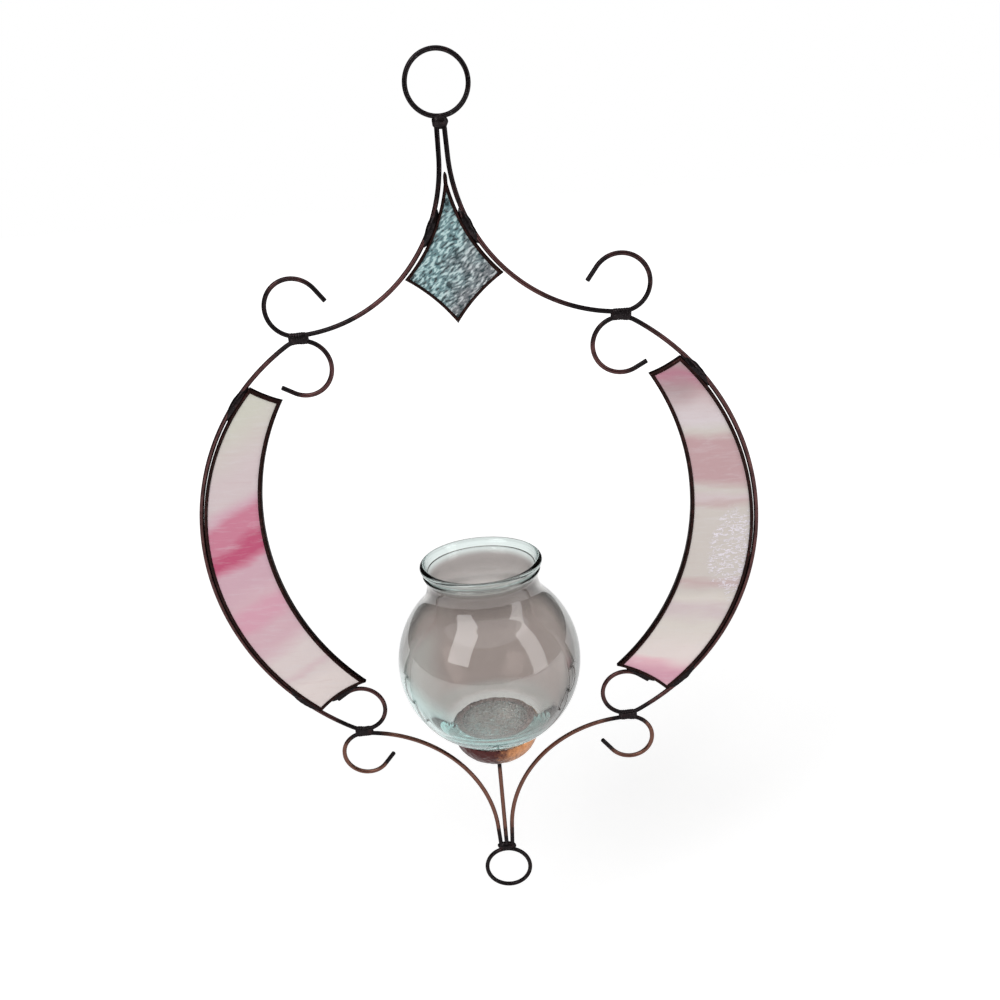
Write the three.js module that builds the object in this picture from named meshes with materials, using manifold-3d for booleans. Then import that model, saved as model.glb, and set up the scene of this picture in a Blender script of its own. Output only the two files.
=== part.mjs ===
// Hanging propagation vase: two mirrored halves of bent copper wire carry three panes of coloured glass,
// and a copper cup on a stem holds a round glass bowl for a cutting.
// Millimetres, +Z up. The frame is flat in the XZ plane and faces -Y.
// The origin is the place inside the hanging ring where a hook bears.

import * as THREE from 'three';
import { mergeVertices } from 'three/addons/utils/BufferGeometryUtils.js';
import Module from 'manifold-3d';

const wasm = await Module();
wasm.setup();

// Wire and solder
const wireDiameter = 2.05;
const wireSides = 8;
const wireGap = 0.15;
const solderClearance = 0.12;
const chordError = 0.12;
const widestStep = 12;

// Hanging ring and bottom ring, measured on the centre line of the wire
const hangRingRadius = 12.3;
const bottomRingRadius = 10.65;

// Top wires: a lead down from the ring, a bow out to the upper joint and a scroll
const topLeadSpread = 1.45;
const topLeadLength = 13.4;
const topLeadHeading = -88.7;
const topBowRadius = 68.7;
const upperJointTilt = -2.7;
const scrollRootRadius = 11.85;
const scrollRootTurn = 106;
const scrollTipRadius = 12;
const scrollTipTurn = 130;
const scrollTailLength = 6.8;

// Side wires: one long round flank between two curls
const flankRadius = 107.5;
const upperSweep = 57.5;
const lowerSweep = 60.75;
const upperCurlRadius = 11.7;
const upperCurlTurn = 241;
const upperCurlTailLength = 5.75;
const lowerCurlRadius = 10.95;
const lowerCurlTurn = 244.5;
const lowerCurlTailLength = 5.2;

// Bottom wires: up from the bottom ring, a bow out to the lower joint and a curl
const bottomLeadSpread = 2.7;
const bottomLeadLength = 12.4;
const bottomLeadHeading = 86.8;
const lowerJointTilt = 1.35;
const footCurlRadius = 10.7;
const footCurlTurn = 232;
const footCurlTailLength = 7.5;

// Bindings of fine wire round each joint, flooded with solder
const bindingLength = 7;
const bindingTurns = 5;
const bindingWall = 0.35;
const bindingRibHeight = 0.22;

// Solder at the two rings
const ringSolderWidth = 6.4;
const ringSolderDepth = 3.8;
const ringSolderHeight = 6;
const ringSolderDrop = 0.7;
const bottomSolderMargin = 0.9;
const bottomSolderDepth = 3.6;
const bottomSolderHeight = 5.2;
const bottomSolderRise = 0.4;

// Panes of glass in their black foil
const glassThickness = 3;
const foilThickness = 0.4;
const foilLipWidth = 1.65;
const foilCrownHeight = 0.45;
const glassEdgeClearance = 0.15;
const glassFaceClearance = 0.1;

// Kite pane between the top wires
const kiteTipDrop = 20.35;
const kiteShoulderDrop = 40.4;
const kiteHeight = 59.5;
const kiteGap = 0.55;
const kiteLowerHollow = 1.35;

// Crescent panes inside the flanks
const crescentGap = 0.45;
const crescentWidth = 27;
const crescentInnerFlattening = 2.1;
const crescentInnerRise = 10.6;
const crescentTopInset = 24.7;
const crescentTopSlope = 26.2;
const crescentTopHollow = 0.5;
const crescentBottomHollow = 1.6;
const crescentTailGap = 0.45;
const crescentTailSplay = 3.6;

// Seams of solder that lap over a wire and close its gap to a foil
const seamWidth = 3.2;
const seamDepth = 3.5;
const kiteSeamStart = 18.5;
const kiteSeamLength = 16;
const upperSeamLength = 18;
const lowerSeamLength = 19;
const tailSeamWidth = 3;
const tailSeamLap = 0.9;
const tailSeamStart = 4.5;
const tailSeamLength = 15;

// Copper cup and its stem
const stemLength = 52.8;
const cupRadius = 20;
const cupDepth = 15;
const cupWall = 0.8;
const stemFilletRadius = 3;
const stemFilletHeight = 3;
const stemFilletFoot = 0.4;
const stemFilletEdge = 0.3;

// Glass bowl that rests in the cup
const bowlRadius = 42;
const bowlWall = 2.2;
const bowlFootRadius = 18;
const bowlFootRecess = 0.8;
const bowlFootRimWidth = 2;
const bowlFloorThickness = 8.4;
const bowlFloorRadius = 17;
const bowlFloorCorner = 7;
const bowlShoulderAngle = 36;
const bowlNeckRadius = 25.2;
const bowlNeckRise = 40.5;
const bowlRidgeRadius = 26.6;
const bowlRidgeRise = 44.7;
const bowlRidgeThickness = 2;
const bowlLipRadius = 26.1;
const bowlLipRise = 48.3;
const bowlLipThickness = 3;
const bowlLipFlare = 0.3;
const bowlSeatGap = 0.2;
const bowlSides = 32;

const wireRadius = wireDiameter / 2;
const foilHalf = glassThickness / 2 + glassFaceClearance + foilCrownHeight;
const radians = THREE.MathUtils.degToRad;
const degrees = THREE.MathUtils.radToDeg;

// Plane geometry: x to the right, z up
const place = (x, z) => ({ x, z });
const along = (heading) => place(Math.cos(radians(heading)), Math.sin(radians(heading)));
const shifted = (point, heading, distance) =>
  place(point.x + along(heading).x * distance, point.z + along(heading).z * distance);
const headingTo = (from, to) => degrees(Math.atan2(to.z - from.z, to.x - from.x));
const distance = (a, b) => Math.hypot(a.x - b.x, a.z - b.z);

// Degrees of arc that keep a chord within the chord error of its circle
const stepAngle = (radius) => Math.min(widestStep, degrees(2 * Math.acos(1 - chordError / radius)));

// A wire bent in the frame's plane: straight runs { length } and bends { radius, turn }, turn in degrees to the left
class BentWire extends THREE.Curve {
  constructor(start, heading, runs) {
    super();
    this.parts = [];
    this.steps = 0;
    let point = start;
    for (const run of runs) {
      const turn = run.turn ?? 0;
      const count = turn === 0 ? 1 : Math.ceil(Math.abs(turn) / stepAngle(run.radius));
      const side = Math.sign(turn);
      const part = { ...run, turn, side, point, heading, count, first: this.steps };
      part.centre = shifted(point, heading + 90 * side, run.radius ?? 0);
      this.parts.push(part);
      this.steps += count;
      point = this.placeOn(part, 1);
      heading += turn;
    }
    this.end = point;
    this.endHeading = heading;
  }

  placeOn(part, share) {
    if (part.turn === 0) {
      return shifted(part.point, part.heading, part.length * share);
    }
    return shifted(part.centre, part.heading + part.turn * share - 90 * part.side, part.radius);
  }

  partAt(t) {
    const step = t * this.steps;
    const part = this.parts.find((each) => step <= each.first + each.count) ?? this.parts.at(-1);
    return { part, share: (step - part.first) / part.count };
  }

  getPoint(t, target = new THREE.Vector3()) {
    const { part, share } = this.partAt(t);
    const { x, z } = this.placeOn(part, share);
    return target.set(x, 0, z);
  }

  getTangent(t, target = new THREE.Vector3()) {
    const { part, share } = this.partAt(t);
    const { x, z } = along(part.heading + part.turn * share);
    return target.set(x, 0, z);
  }

  // Stations follow the bends, so a tight curl gets its share of them
  getPointAt(t, target) {
    return this.getPoint(t, target);
  }

  getTangentAt(t, target) {
    return this.getTangent(t, target);
  }
}

// The circle through two places whose arc between them sinks by a hollow to the left of the way from a to b
function hollowCircle(a, b, hollow) {
  const half = distance(a, b) / 2;
  const radius = (half ** 2 + hollow ** 2) / (2 * hollow);
  const middle = place((a.x + b.x) / 2, (a.z + b.z) / 2);
  return { ...shifted(middle, headingTo(a, b) - 90, radius - hollow), radius, solidInside: false };
}

// The place where a line from a point meets a circle, the far one of the two along its heading
function lineMeets(point, heading, circle) {
  const way = along(heading);
  const dx = circle.x - point.x;
  const dz = circle.z - point.z;
  const nearest = dx * way.x + dz * way.z;
  const off = dx * way.z - dz * way.x;
  return shifted(point, heading, nearest + Math.sqrt(circle.radius ** 2 - off ** 2));
}

// The place where two circles cross, the one nearer to a hint
function circlesMeet(a, b, hint) {
  const apart = distance(a, b);
  const reach = (a.radius ** 2 - b.radius ** 2 + apart ** 2) / (2 * apart);
  const half = Math.sqrt(a.radius ** 2 - reach ** 2);
  const heading = headingTo(a, b);
  const middle = shifted(a, heading, reach);
  const found = [shifted(middle, heading + 90, half), shifted(middle, heading - 90, half)];
  return found.sort((p, q) => distance(p, hint) - distance(q, hint))[0];
}

// A pane whose sides are arcs of circles. Side i runs from corner i to the next one.
class Pane {
  constructor(sides, corners) {
    this.sides = sides;
    this.corners = corners;
    this.counts = sides.map((side, i) => {
      const sweep = this.sweep(side, corners[i], corners[(i + 1) % corners.length]);
      return Math.max(2, Math.ceil(Math.abs(sweep) / stepAngle(side.radius)));
    });
  }

  sweep(circle, from, to) {
    const turn = headingTo(circle, to) - headingTo(circle, from);
    return turn - 360 * Math.round(turn / 360);
  }

  // The outline with every side moved into the glass by an inset
  outline(inset) {
    const circles = this.sides.map((side) => ({
      ...side,
      radius: side.radius + (side.solidInside ? -inset : inset),
    }));
    const last = circles.length - 1;
    const corners = circles.map((circle, i) => circlesMeet(circles[i ? i - 1 : last], circle, this.corners[i]));
    const points = [];
    circles.forEach((circle, i) => {
      const sweep = this.sweep(circle, corners[i], corners[i === last ? 0 : i + 1]);
      for (let step = 0; step < this.counts[i]; step++) {
        const heading = headingTo(circle, corners[i]) + (sweep * step) / this.counts[i];
        points.push(shifted(circle, heading, circle.radius));
      }
    });
    return points;
  }
}

// Solids from vertices and triangles, turned so that their faces point out
function closedGeometry(vertices, triangles) {
  const position = new Float32Array(vertices.flatMap((v) => [v.x, v.y, v.z]));
  let volume = 0;
  const normal = new THREE.Vector3();
  for (const [a, b, c] of triangles) {
    volume += normal.crossVectors(vertices[a], vertices[b]).dot(vertices[c]);
  }
  const index = triangles.flatMap(([a, b, c]) => (volume < 0 ? [a, c, b] : [a, b, c]));
  const geometry = new THREE.BufferGeometry();
  geometry.setAttribute('position', new THREE.BufferAttribute(position, 3));
  geometry.setIndex(index);
  return geometry;
}

// A skin over rings of equal count, either capped at its two ends or joined round to the first ring
function loft(rings, closedRound = false) {
  const size = rings[0].length;
  const triangles = [];
  const spans = closedRound ? rings.length : rings.length - 1;
  for (let ring = 0; ring < spans; ring++) {
    const here = ring * size;
    const next = ((ring + 1) % rings.length) * size;
    for (let i = 0; i < size; i++) {
      const j = (i + 1) % size;
      triangles.push([here + i, here + j, next + j], [here + i, next + j, next + i]);
    }
  }
  if (!closedRound) {
    const flat = rings[0].map((v) => new THREE.Vector2(v.x, v.z));
    const thin = Math.abs(THREE.ShapeUtils.area(flat)) < 0.01;
    const cap = thin ? flat.slice(2).map((_, i) => [0, i + 1, i + 2]) : THREE.ShapeUtils.triangulateShape(flat, []);
    const turn = THREE.ShapeUtils.isClockWise(flat) || thin;
    const far = (rings.length - 1) * size;
    for (const [a, b, c] of cap) {
      const [p, q, r] = turn && !thin ? [a, b, c] : [a, c, b];
      triangles.push([p, q, r], [far + p, far + r, far + q]);
    }
  }
  return closedGeometry(rings.flat(), triangles);
}

const toSolid = (geometry) => {
  const bare = geometry.clone();
  bare.deleteAttribute('normal');
  bare.deleteAttribute('uv');
  const merged = mergeVertices(bare, 1e-4);
  const vertProperties = new Float32Array(merged.attributes.position.array);
  const triVerts = new Uint32Array(merged.index.array);
  return new wasm.Manifold(new wasm.Mesh({ numProp: 3, vertProperties, triVerts }));
};

const toGeometry = (solid) => {
  const mesh = solid.getMesh();
  const geometry = new THREE.BufferGeometry();
  geometry.setAttribute('position', new THREE.BufferAttribute(mesh.vertProperties, 3));
  geometry.setIndex(new THREE.BufferAttribute(mesh.triVerts, 1));
  return geometry;
};

const cut = (geometry, cutters) =>
  toGeometry(cutters.reduce((solid, cutter) => solid.subtract(toSolid(cutter)), toSolid(geometry)));

// Wires
function wireGeometry(path, radius = wireRadius) {
  const rim = Array.from({ length: wireSides }, (_, i) => {
    const angle = (i * 2 * Math.PI) / wireSides;
    return new THREE.Vector2(radius * Math.cos(angle), radius * Math.sin(angle));
  });
  return new THREE.ExtrudeGeometry(new THREE.Shape(rim), {
    steps: path.steps,
    extrudePath: path,
    bevelEnabled: false,
  });
}

// The same wire fattened by the solder's clearance and run on past its first end, to cut solder with
function wireCutter(path, runs) {
  const first = path.parts[0];
  const start = shifted(first.point, first.heading, -solderClearance);
  const longer = [{ length: first.length + solderClearance }, ...runs.slice(1)];
  return wireGeometry(new BentWire(start, first.heading, longer), wireRadius + solderClearance);
}

// Top wires hang from the ring
const kiss = wireDiameter + wireGap;
const hangRingCentre = place(0, -(hangRingRadius - wireRadius));
const topStart = place(topLeadSpread, hangRingCentre.z - hangRingRadius - wireRadius - wireGap);
const topRuns = [
  { length: topLeadLength },
  { radius: topBowRadius, turn: upperJointTilt - topLeadHeading },
  { radius: scrollRootRadius, turn: scrollRootTurn },
  { radius: scrollTipRadius, turn: scrollTipTurn },
  { length: scrollTailLength },
];
const topPath = new BentWire(topStart, topLeadHeading, topRuns);
const [, topBow, scroll] = topPath.parts;

// A side wire's upper curl kisses the bow of its top wire from below, where the bow runs into the scroll
const upperJoint = shifted(scroll.point, upperJointTilt - 90, kiss / 2);
const upperKiss = shifted(scroll.point, upperJointTilt - 90, kiss);
const upperCurlCentre = shifted(upperKiss, upperJointTilt - 90, upperCurlRadius);
const flank = {
  ...shifted(upperCurlCentre, upperSweep + 180, flankRadius - upperCurlRadius),
  radius: flankRadius,
};
const upperHalf = new BentWire(place(flank.x + flankRadius, flank.z), 90, [
  { radius: flankRadius, turn: upperSweep },
  { radius: upperCurlRadius, turn: upperCurlTurn },
  { length: upperCurlTailLength },
]);
const sideRuns = [
  { length: upperCurlTailLength },
  { radius: upperCurlRadius, turn: -upperCurlTurn },
  { radius: flankRadius, turn: -(upperSweep + lowerSweep) },
  { radius: lowerCurlRadius, turn: -lowerCurlTurn },
  { length: lowerCurlTailLength },
];
const sidePath = new BentWire(upperHalf.end, upperHalf.endHeading + 180, sideRuns);
const [, , , lowerCurl, lowerTail] = sidePath.parts;

// A bottom wire kisses the lower curl from below, and its bow carries it in to the bottom ring
const lowerKiss = shifted(lowerCurl.centre, lowerJointTilt - 90, lowerCurlRadius);
const lowerJoint = shifted(lowerKiss, lowerJointTilt - 90, kiss / 2);
const bottomBowEnd = shifted(lowerKiss, lowerJointTilt - 90, kiss);
const leadWay = along(bottomLeadHeading);
const jointWay = along(lowerJointTilt);
const bottomBowRadius =
  (bottomBowEnd.x - bottomLeadSpread - bottomLeadLength * leadWay.x) / (leadWay.z - jointWay.z);
const bottomStart = place(
  bottomLeadSpread,
  bottomBowEnd.z - bottomLeadLength * leadWay.z - bottomBowRadius * (jointWay.x - leadWay.x),
);
const bottomRuns = [
  { length: bottomLeadLength },
  { radius: bottomBowRadius, turn: lowerJointTilt - bottomLeadHeading },
  { radius: footCurlRadius, turn: -footCurlTurn },
  { length: footCurlTailLength },
];
const bottomPath = new BentWire(bottomStart, bottomLeadHeading, bottomRuns);
const bottomRingCentre = place(0, bottomStart.z - wireGap - wireRadius - bottomRingRadius);

// The stem stands between the bottom wires and carries the cup
const stemFoot = place(0, bottomStart.z);
const stemRuns = [{ length: stemLength }];
const stemPath = new BentWire(stemFoot, 90, stemRuns);
const cupBottom = place(0, stemPath.end.z + wireGap);
const cupRim = place(0, cupBottom.z + cupDepth);

const sideCutter = wireCutter(sidePath, sideRuns);
const topCutter = wireCutter(topPath, topRuns);
const bottomCutter = wireCutter(bottomPath, bottomRuns);
const stemCutter = wireCutter(stemPath, stemRuns);

function ringGeometry(centre, radius, thickness = wireRadius) {
  const steps = 4 * Math.ceil(90 / stepAngle(radius));
  return new THREE.TorusGeometry(radius, thickness, wireSides, steps)
    .rotateX(Math.PI / 2)
    .translate(centre.x, 0, centre.z);
}

const hangRingCutter = ringGeometry(hangRingCentre, hangRingRadius, wireRadius + solderClearance);
const bottomRingCutter = ringGeometry(bottomRingCentre, bottomRingRadius, wireRadius + solderClearance);

// An oval ring of points across the frame: a heading in the plane gives its long way, and Y its depth
function ovalSection(centre, heading, reach, back, halfDepth, count = 8) {
  const way = along(heading);
  return Array.from({ length: count }, (_, i) => {
    const angle = ((i + 0.5) * 2 * Math.PI) / count;
    const far = Math.cos(angle) > 0 ? reach : back;
    const out = Math.sign(Math.cos(angle)) * (far - halfDepth) + halfDepth * Math.cos(angle);
    return new THREE.Vector3(centre.x + way.x * out, halfDepth * Math.sin(angle), centre.z + way.z * out);
  });
}

// How far a wire bent to a radius has left its tangent after a run along it
const leaves = (radius, run) => radius - Math.sqrt(radius ** 2 - run ** 2);

// Fine wire wound round two kissing wires and flooded with solder: a ribbed sleeve that follows them both.
// above and below give the bends [inner side, outer side] of the two wires.
function bindingGeometry(kissPoint, tilt, above, below, cutters) {
  const stations = bindingTurns * 2 + 1;
  const rings = Array.from({ length: stations }, (_, i) => {
    const run = bindingLength * (i / (stations - 1) - 0.5);
    const outer = run > 0 ? 1 : 0;
    const wall = wireRadius + bindingWall + (i % 2 ? bindingRibHeight : 0);
    const up = kiss / 2 + leaves(above[outer], Math.abs(run)) + wall;
    const down = kiss / 2 + leaves(below[outer], Math.abs(run)) + wall;
    return ovalSection(shifted(kissPoint, tilt, run), tilt + 90, up, down, wall);
  });
  return cut(loft(rings), cutters);
}

// A seam of solder along a circle about a centre, from a heading on for a length, rounded off at its ends
function seamGeometry(centre, radius, heading, length, halfWidth, halfDepth, cutters) {
  const sweep = degrees(length / radius);
  const stations = 2 + Math.ceil(Math.abs(sweep) / Math.min(stepAngle(radius), Math.abs(sweep) / 5));
  const rings = Array.from({ length: stations }, (_, i) => {
    const share = i / (stations - 1);
    const full = Math.sqrt(1 - 0.9 * Math.abs(2 * share - 1) ** 5);
    const way = heading + sweep * share;
    return ovalSection(shifted(centre, way, radius), way, halfWidth * full, halfWidth * full, halfDepth * full);
  });
  return cut(loft(rings), cutters);
}

// Panes: the foil is a channel folded over the edge of the glass, with a low crown of solder
function foilGeometry(pane) {
  const face = glassThickness / 2 + glassFaceClearance;
  const crown = face + foilCrownHeight;
  const half = [
    [foilThickness, face],
    [foilLipWidth, face],
    [foilLipWidth * 0.6, crown],
    [0, face],
  ];
  const back = half.map(([inset, y]) => [inset, -y]).reverse();
  const rings = [...half, ...back].map(([inset, y]) =>
    pane.outline(inset).map(({ x, z }) => new THREE.Vector3(x, y, z)));
  return loft(rings, true);
}

function glassGeometry(pane) {
  const outline = pane.outline(foilThickness + glassEdgeClearance).map(({ x, z }) => new THREE.Vector2(x, z));
  return new THREE.ExtrudeGeometry(new THREE.Shape(outline), { depth: glassThickness, bevelEnabled: false })
    .rotateX(Math.PI / 2)
    .translate(0, glassThickness / 2, 0);
}

function foilCutter(pane) {
  const rim = pane.outline(-solderClearance);
  const half = foilHalf + solderClearance;
  return loft([-half, half].map((y) => rim.map(({ x, z }) => new THREE.Vector3(x, y, z))));
}

const kiteTip = place(0, topStart.z - kiteTipDrop);
const kiteBottom = place(0, kiteTip.z - kiteHeight);
const kiteSideRadius = topBowRadius + wireRadius + kiteGap;
const kiteShoulderZ = kiteTip.z - kiteShoulderDrop;
const kiteRight = place(
  topBow.centre.x - Math.sqrt(kiteSideRadius ** 2 - (kiteShoulderZ - topBow.centre.z) ** 2),
  kiteShoulderZ,
);
const kiteChord = distance(kiteTip, kiteRight) / 2;
const kiteUpperHollow = kiteSideRadius - Math.sqrt(kiteSideRadius ** 2 - kiteChord ** 2);
const mirrored = (thing) => ({ ...thing, x: -thing.x });
const kiteUpper = hollowCircle(kiteRight, kiteTip, kiteUpperHollow);
const kiteLower = hollowCircle(kiteBottom, kiteRight, kiteLowerHollow);
const kitePane = new Pane(
  [mirrored(kiteUpper), mirrored(kiteLower), kiteLower, kiteUpper],
  [kiteTip, mirrored(kiteRight), kiteBottom, kiteRight],
);

const crescentOuter = { ...flank, radius: flankRadius - wireRadius - crescentGap, solidInside: true };
const crescentInner = {
  x: crescentOuter.x - crescentWidth - crescentInnerFlattening,
  z: flank.z + crescentInnerRise,
  radius: crescentOuter.radius + crescentInnerFlattening,
  solidInside: false,
};
const topCorner = shifted(
  crescentOuter,
  upperSweep - degrees(crescentTopInset / flankRadius),
  crescentOuter.radius,
);
const insetTopStart = shifted(topCorner, crescentTopSlope + 180, crescentWidth);
const topInnerCorner = lineMeets(insetTopStart, crescentTopSlope, crescentInner);
const tailNormal = lowerTail.heading + 90;
const tailChord = shifted(lowerTail.point, tailNormal, wireRadius + crescentTailGap - crescentBottomHollow);
const bottomEdgeHeading = lowerTail.heading + crescentTailSplay;
const bottomCorner = lineMeets(tailChord, bottomEdgeHeading, crescentOuter);
const insetBottomStart = shifted(bottomCorner, bottomEdgeHeading + 180, crescentWidth * 1.2);
const bottomInnerCorner = lineMeets(insetBottomStart, bottomEdgeHeading, crescentInner);
const crescentTop = hollowCircle(topCorner, topInnerCorner, crescentTopHollow);
const crescentBottom = hollowCircle(bottomInnerCorner, bottomCorner, crescentBottomHollow);
const crescentPane = new Pane(
  [crescentOuter, crescentTop, crescentInner, crescentBottom],
  [bottomCorner, topCorner, topInnerCorner, bottomInnerCorner],
);

const kiteFoilCutter = foilCutter(kitePane);
const crescentFoilCutter = foilCutter(crescentPane);

// Solder that holds the panes to the wires: it laps over the wire and over the edge of the foil
const flankSeam = (heading, length) => seamGeometry(
  flank,
  flankRadius - wireRadius - crescentGap / 2,
  heading,
  length,
  seamWidth / 2,
  seamDepth / 2,
  [sideCutter, crescentFoilCutter],
);
const kiteSeam = seamGeometry(
  topBow.centre,
  topBowRadius + wireRadius + kiteGap / 2,
  180 + kiteSeamStart,
  kiteSeamLength,
  seamWidth / 2,
  seamDepth / 2,
  [topCutter, kiteFoilCutter],
);
const topCornerHeading = headingTo(flank, topCorner);
const bottomCornerHeading = headingTo(flank, bottomCorner);
const tailSeam = seamGeometry(
  crescentBottom,
  crescentBottom.radius + tailSeamLap - tailSeamWidth / 2,
  headingTo(crescentBottom, bottomInnerCorner) - degrees(tailSeamStart / crescentBottom.radius),
  -tailSeamLength,
  tailSeamWidth / 2,
  seamDepth / 2,
  [sideCutter, crescentFoilCutter],
);

// Solder at the two rings
const turnedOver = (geometry) => geometry.clone().rotateZ(Math.PI);
const lumpGeometry = (width, depth, height, centreZ, cutters) => {
  const ball = new THREE.SphereGeometry(0.5, 10, 6).rotateX(Math.PI / 2);
  return cut(ball.scale(width, depth, height).translate(0, 0, centreZ), cutters);
};
const topSolder = lumpGeometry(
  ringSolderWidth,
  ringSolderDepth,
  ringSolderHeight,
  topStart.z - ringSolderDrop,
  [topCutter, turnedOver(topCutter), hangRingCutter],
);
const bottomSolder = lumpGeometry(
  2 * (bottomLeadSpread + wireRadius + bottomSolderMargin),
  bottomSolderDepth,
  bottomSolderHeight,
  stemFoot.z + bottomSolderRise,
  [bottomCutter, turnedOver(bottomCutter), stemCutter, bottomRingCutter],
);

// Copper cup: a deep round dish of hammered sheet
const lathe = (points, sides) =>
  new THREE.LatheGeometry(points.map(({ x, z }) => new THREE.Vector2(x, z)), sides).rotateX(Math.PI / 2);
const arc = (x, z, radiusX, radiusZ, from, to, steps) =>
  Array.from({ length: steps + 1 }, (_, i) => {
    const way = along(from + ((to - from) * i) / steps);
    return place(x + radiusX * way.x, z + radiusZ * way.z);
  });
const cupGeometry = lathe(
  [
    ...arc(0, cupRim.z, cupRadius, cupDepth, -90, 0, 7),
    ...arc(0, cupRim.z, cupRadius - cupWall, cupDepth - cupWall, 0, -90, 7),
  ],
  bowlSides,
);

// The fillet of solder that stands the cup on its stem
const cupUnderside = (r) => cupRim.z - cupDepth * Math.sqrt(1 - (r / cupRadius) ** 2) - solderClearance;
const stemBore = wireRadius + solderClearance;
const stemFilletProfile = [
  place(stemBore, cupUnderside(stemBore)),
  place(stemBore, cupBottom.z - stemFilletHeight),
  place(stemBore + stemFilletFoot, cupBottom.z - stemFilletHeight),
  place(stemBore + 2 * stemFilletFoot, cupBottom.z - stemFilletHeight * 0.5),
  place(stemFilletRadius, cupUnderside(stemFilletRadius) - stemFilletEdge),
  place(stemFilletRadius, cupUnderside(stemFilletRadius)),
  place(stemBore, cupUnderside(stemBore)),
];
const stemFillet = lathe(stemFilletProfile, 16);

// Glass bowl: a ball with a flat foot and a heavy floor, a short neck, a ridge and a rolled lip
const seatRadius = cupRadius - cupWall;
const bowlCentreZ = cupRim.z + bowlSeatGap + Math.sqrt(bowlRadius ** 2 - seatRadius ** 2);
const bowlPlace = (r, rise) => place(r, bowlCentreZ + rise);
const bowlFootRise = -Math.sqrt(bowlRadius ** 2 - bowlFootRadius ** 2);
const footAngle = degrees(Math.asin(bowlFootRise / bowlRadius));
const innerRadius = bowlRadius - bowlWall;
const innerNeckRadius = bowlNeckRadius - bowlWall;
const floorRise = bowlFootRise + bowlFloorThickness;
const floorCornerRise = floorRise + bowlFloorCorner;
const innerStart = degrees(Math.asin(floorCornerRise / innerRadius));
const floorReach = innerRadius * along(innerStart).x - bowlFloorRadius;

// The shoulder sweeps off the ball and draws in to the neck
function shoulderCurve(ballRadius, neckRadius) {
  const off = shifted(place(0, 0), bowlShoulderAngle, ballRadius);
  const reach = (bowlNeckRise - off.z) * 0.5;
  const handle = shifted(off, bowlShoulderAngle + 90, reach);
  const ends = [off, handle, place(neckRadius, bowlNeckRise - reach), place(neckRadius, bowlNeckRise)];
  const curve = new THREE.CubicBezierCurve(...ends.map(({ x, z }) => new THREE.Vector2(x, z)));
  return curve.getPoints(4).slice(1).map(({ x, y }) => bowlPlace(x, y));
}

const bowlProfile = [
  bowlPlace(0, bowlFootRise + bowlFootRecess),
  bowlPlace(bowlFootRadius - bowlFootRimWidth - bowlFootRecess, bowlFootRise + bowlFootRecess),
  bowlPlace(bowlFootRadius - bowlFootRimWidth, bowlFootRise),
  ...arc(0, bowlCentreZ, bowlRadius, bowlRadius, footAngle, bowlShoulderAngle, 8),
  ...shoulderCurve(bowlRadius, bowlNeckRadius),
  ...arc(bowlRidgeRadius - bowlRidgeThickness / 2, bowlCentreZ + bowlRidgeRise,
    bowlRidgeThickness / 2, bowlRidgeThickness / 2, -60, 60, 2),
  ...arc(bowlLipRadius, bowlCentreZ + bowlLipRise,
    bowlLipThickness / 2, bowlLipThickness / 2, -50, 190, 5),
  bowlPlace(innerNeckRadius + bowlLipFlare, bowlRidgeRise),
  ...shoulderCurve(innerRadius, innerNeckRadius).reverse(),
  ...arc(0, bowlCentreZ, innerRadius, innerRadius, bowlShoulderAngle, innerStart, 6),
  ...arc(bowlFloorRadius, bowlCentreZ + floorCornerRise, floorReach, bowlFloorCorner, -25, -90, 3),
  bowlPlace(0, floorRise),
];
const bowlGeometry = lathe(bowlProfile, bowlSides);

// Finishes
const finish = (name, color, roughness, metalness, opacity = 1) =>
  new THREE.MeshStandardMaterial({ name, color, roughness, metalness, opacity, transparent: opacity < 1 });
const finishes = {
  wire: finish('patinated copper wire', 0x4a2a22, 0.4, 0.9),
  darkWire: finish('black patina on copper', 0x24201f, 0.45, 0.85),
  solder: finish('black patina on solder', 0x2b2c30, 0.5, 0.8),
  foil: finish('black foil', 0x221a19, 0.45, 0.8),
  copper: finish('hammered copper', 0xb4673a, 0.35, 1),
  clearGlass: finish('clear glass', 0xd6ece8, 0.05, 0, 0.35),
  kiteGlass: finish('rippled teal glass', 0x7fa3a6, 0.15, 0, 0.7),
  crescentGlass: finish('opal pink glass', 0xe2bfc2, 0.2, 0, 0.95),
};

const vase = new THREE.Group();
const frame = new THREE.Group();
const leftHalf = new THREE.Group();
leftHalf.rotation.z = Math.PI;
frame.add(leftHalf);
vase.add(frame);

function add(name, geometry, material, group = frame) {
  geometry.computeVertexNormals();
  const mesh = new THREE.Mesh(geometry, material);
  mesh.name = name;
  group.add(mesh);
}

// Both halves of the frame are the same, turned about the centre line
function addPair(name, geometry, material) {
  add(`${name}_right`, geometry, material);
  add(`${name}_left`, geometry.clone(), material, leftHalf);
}

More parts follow.
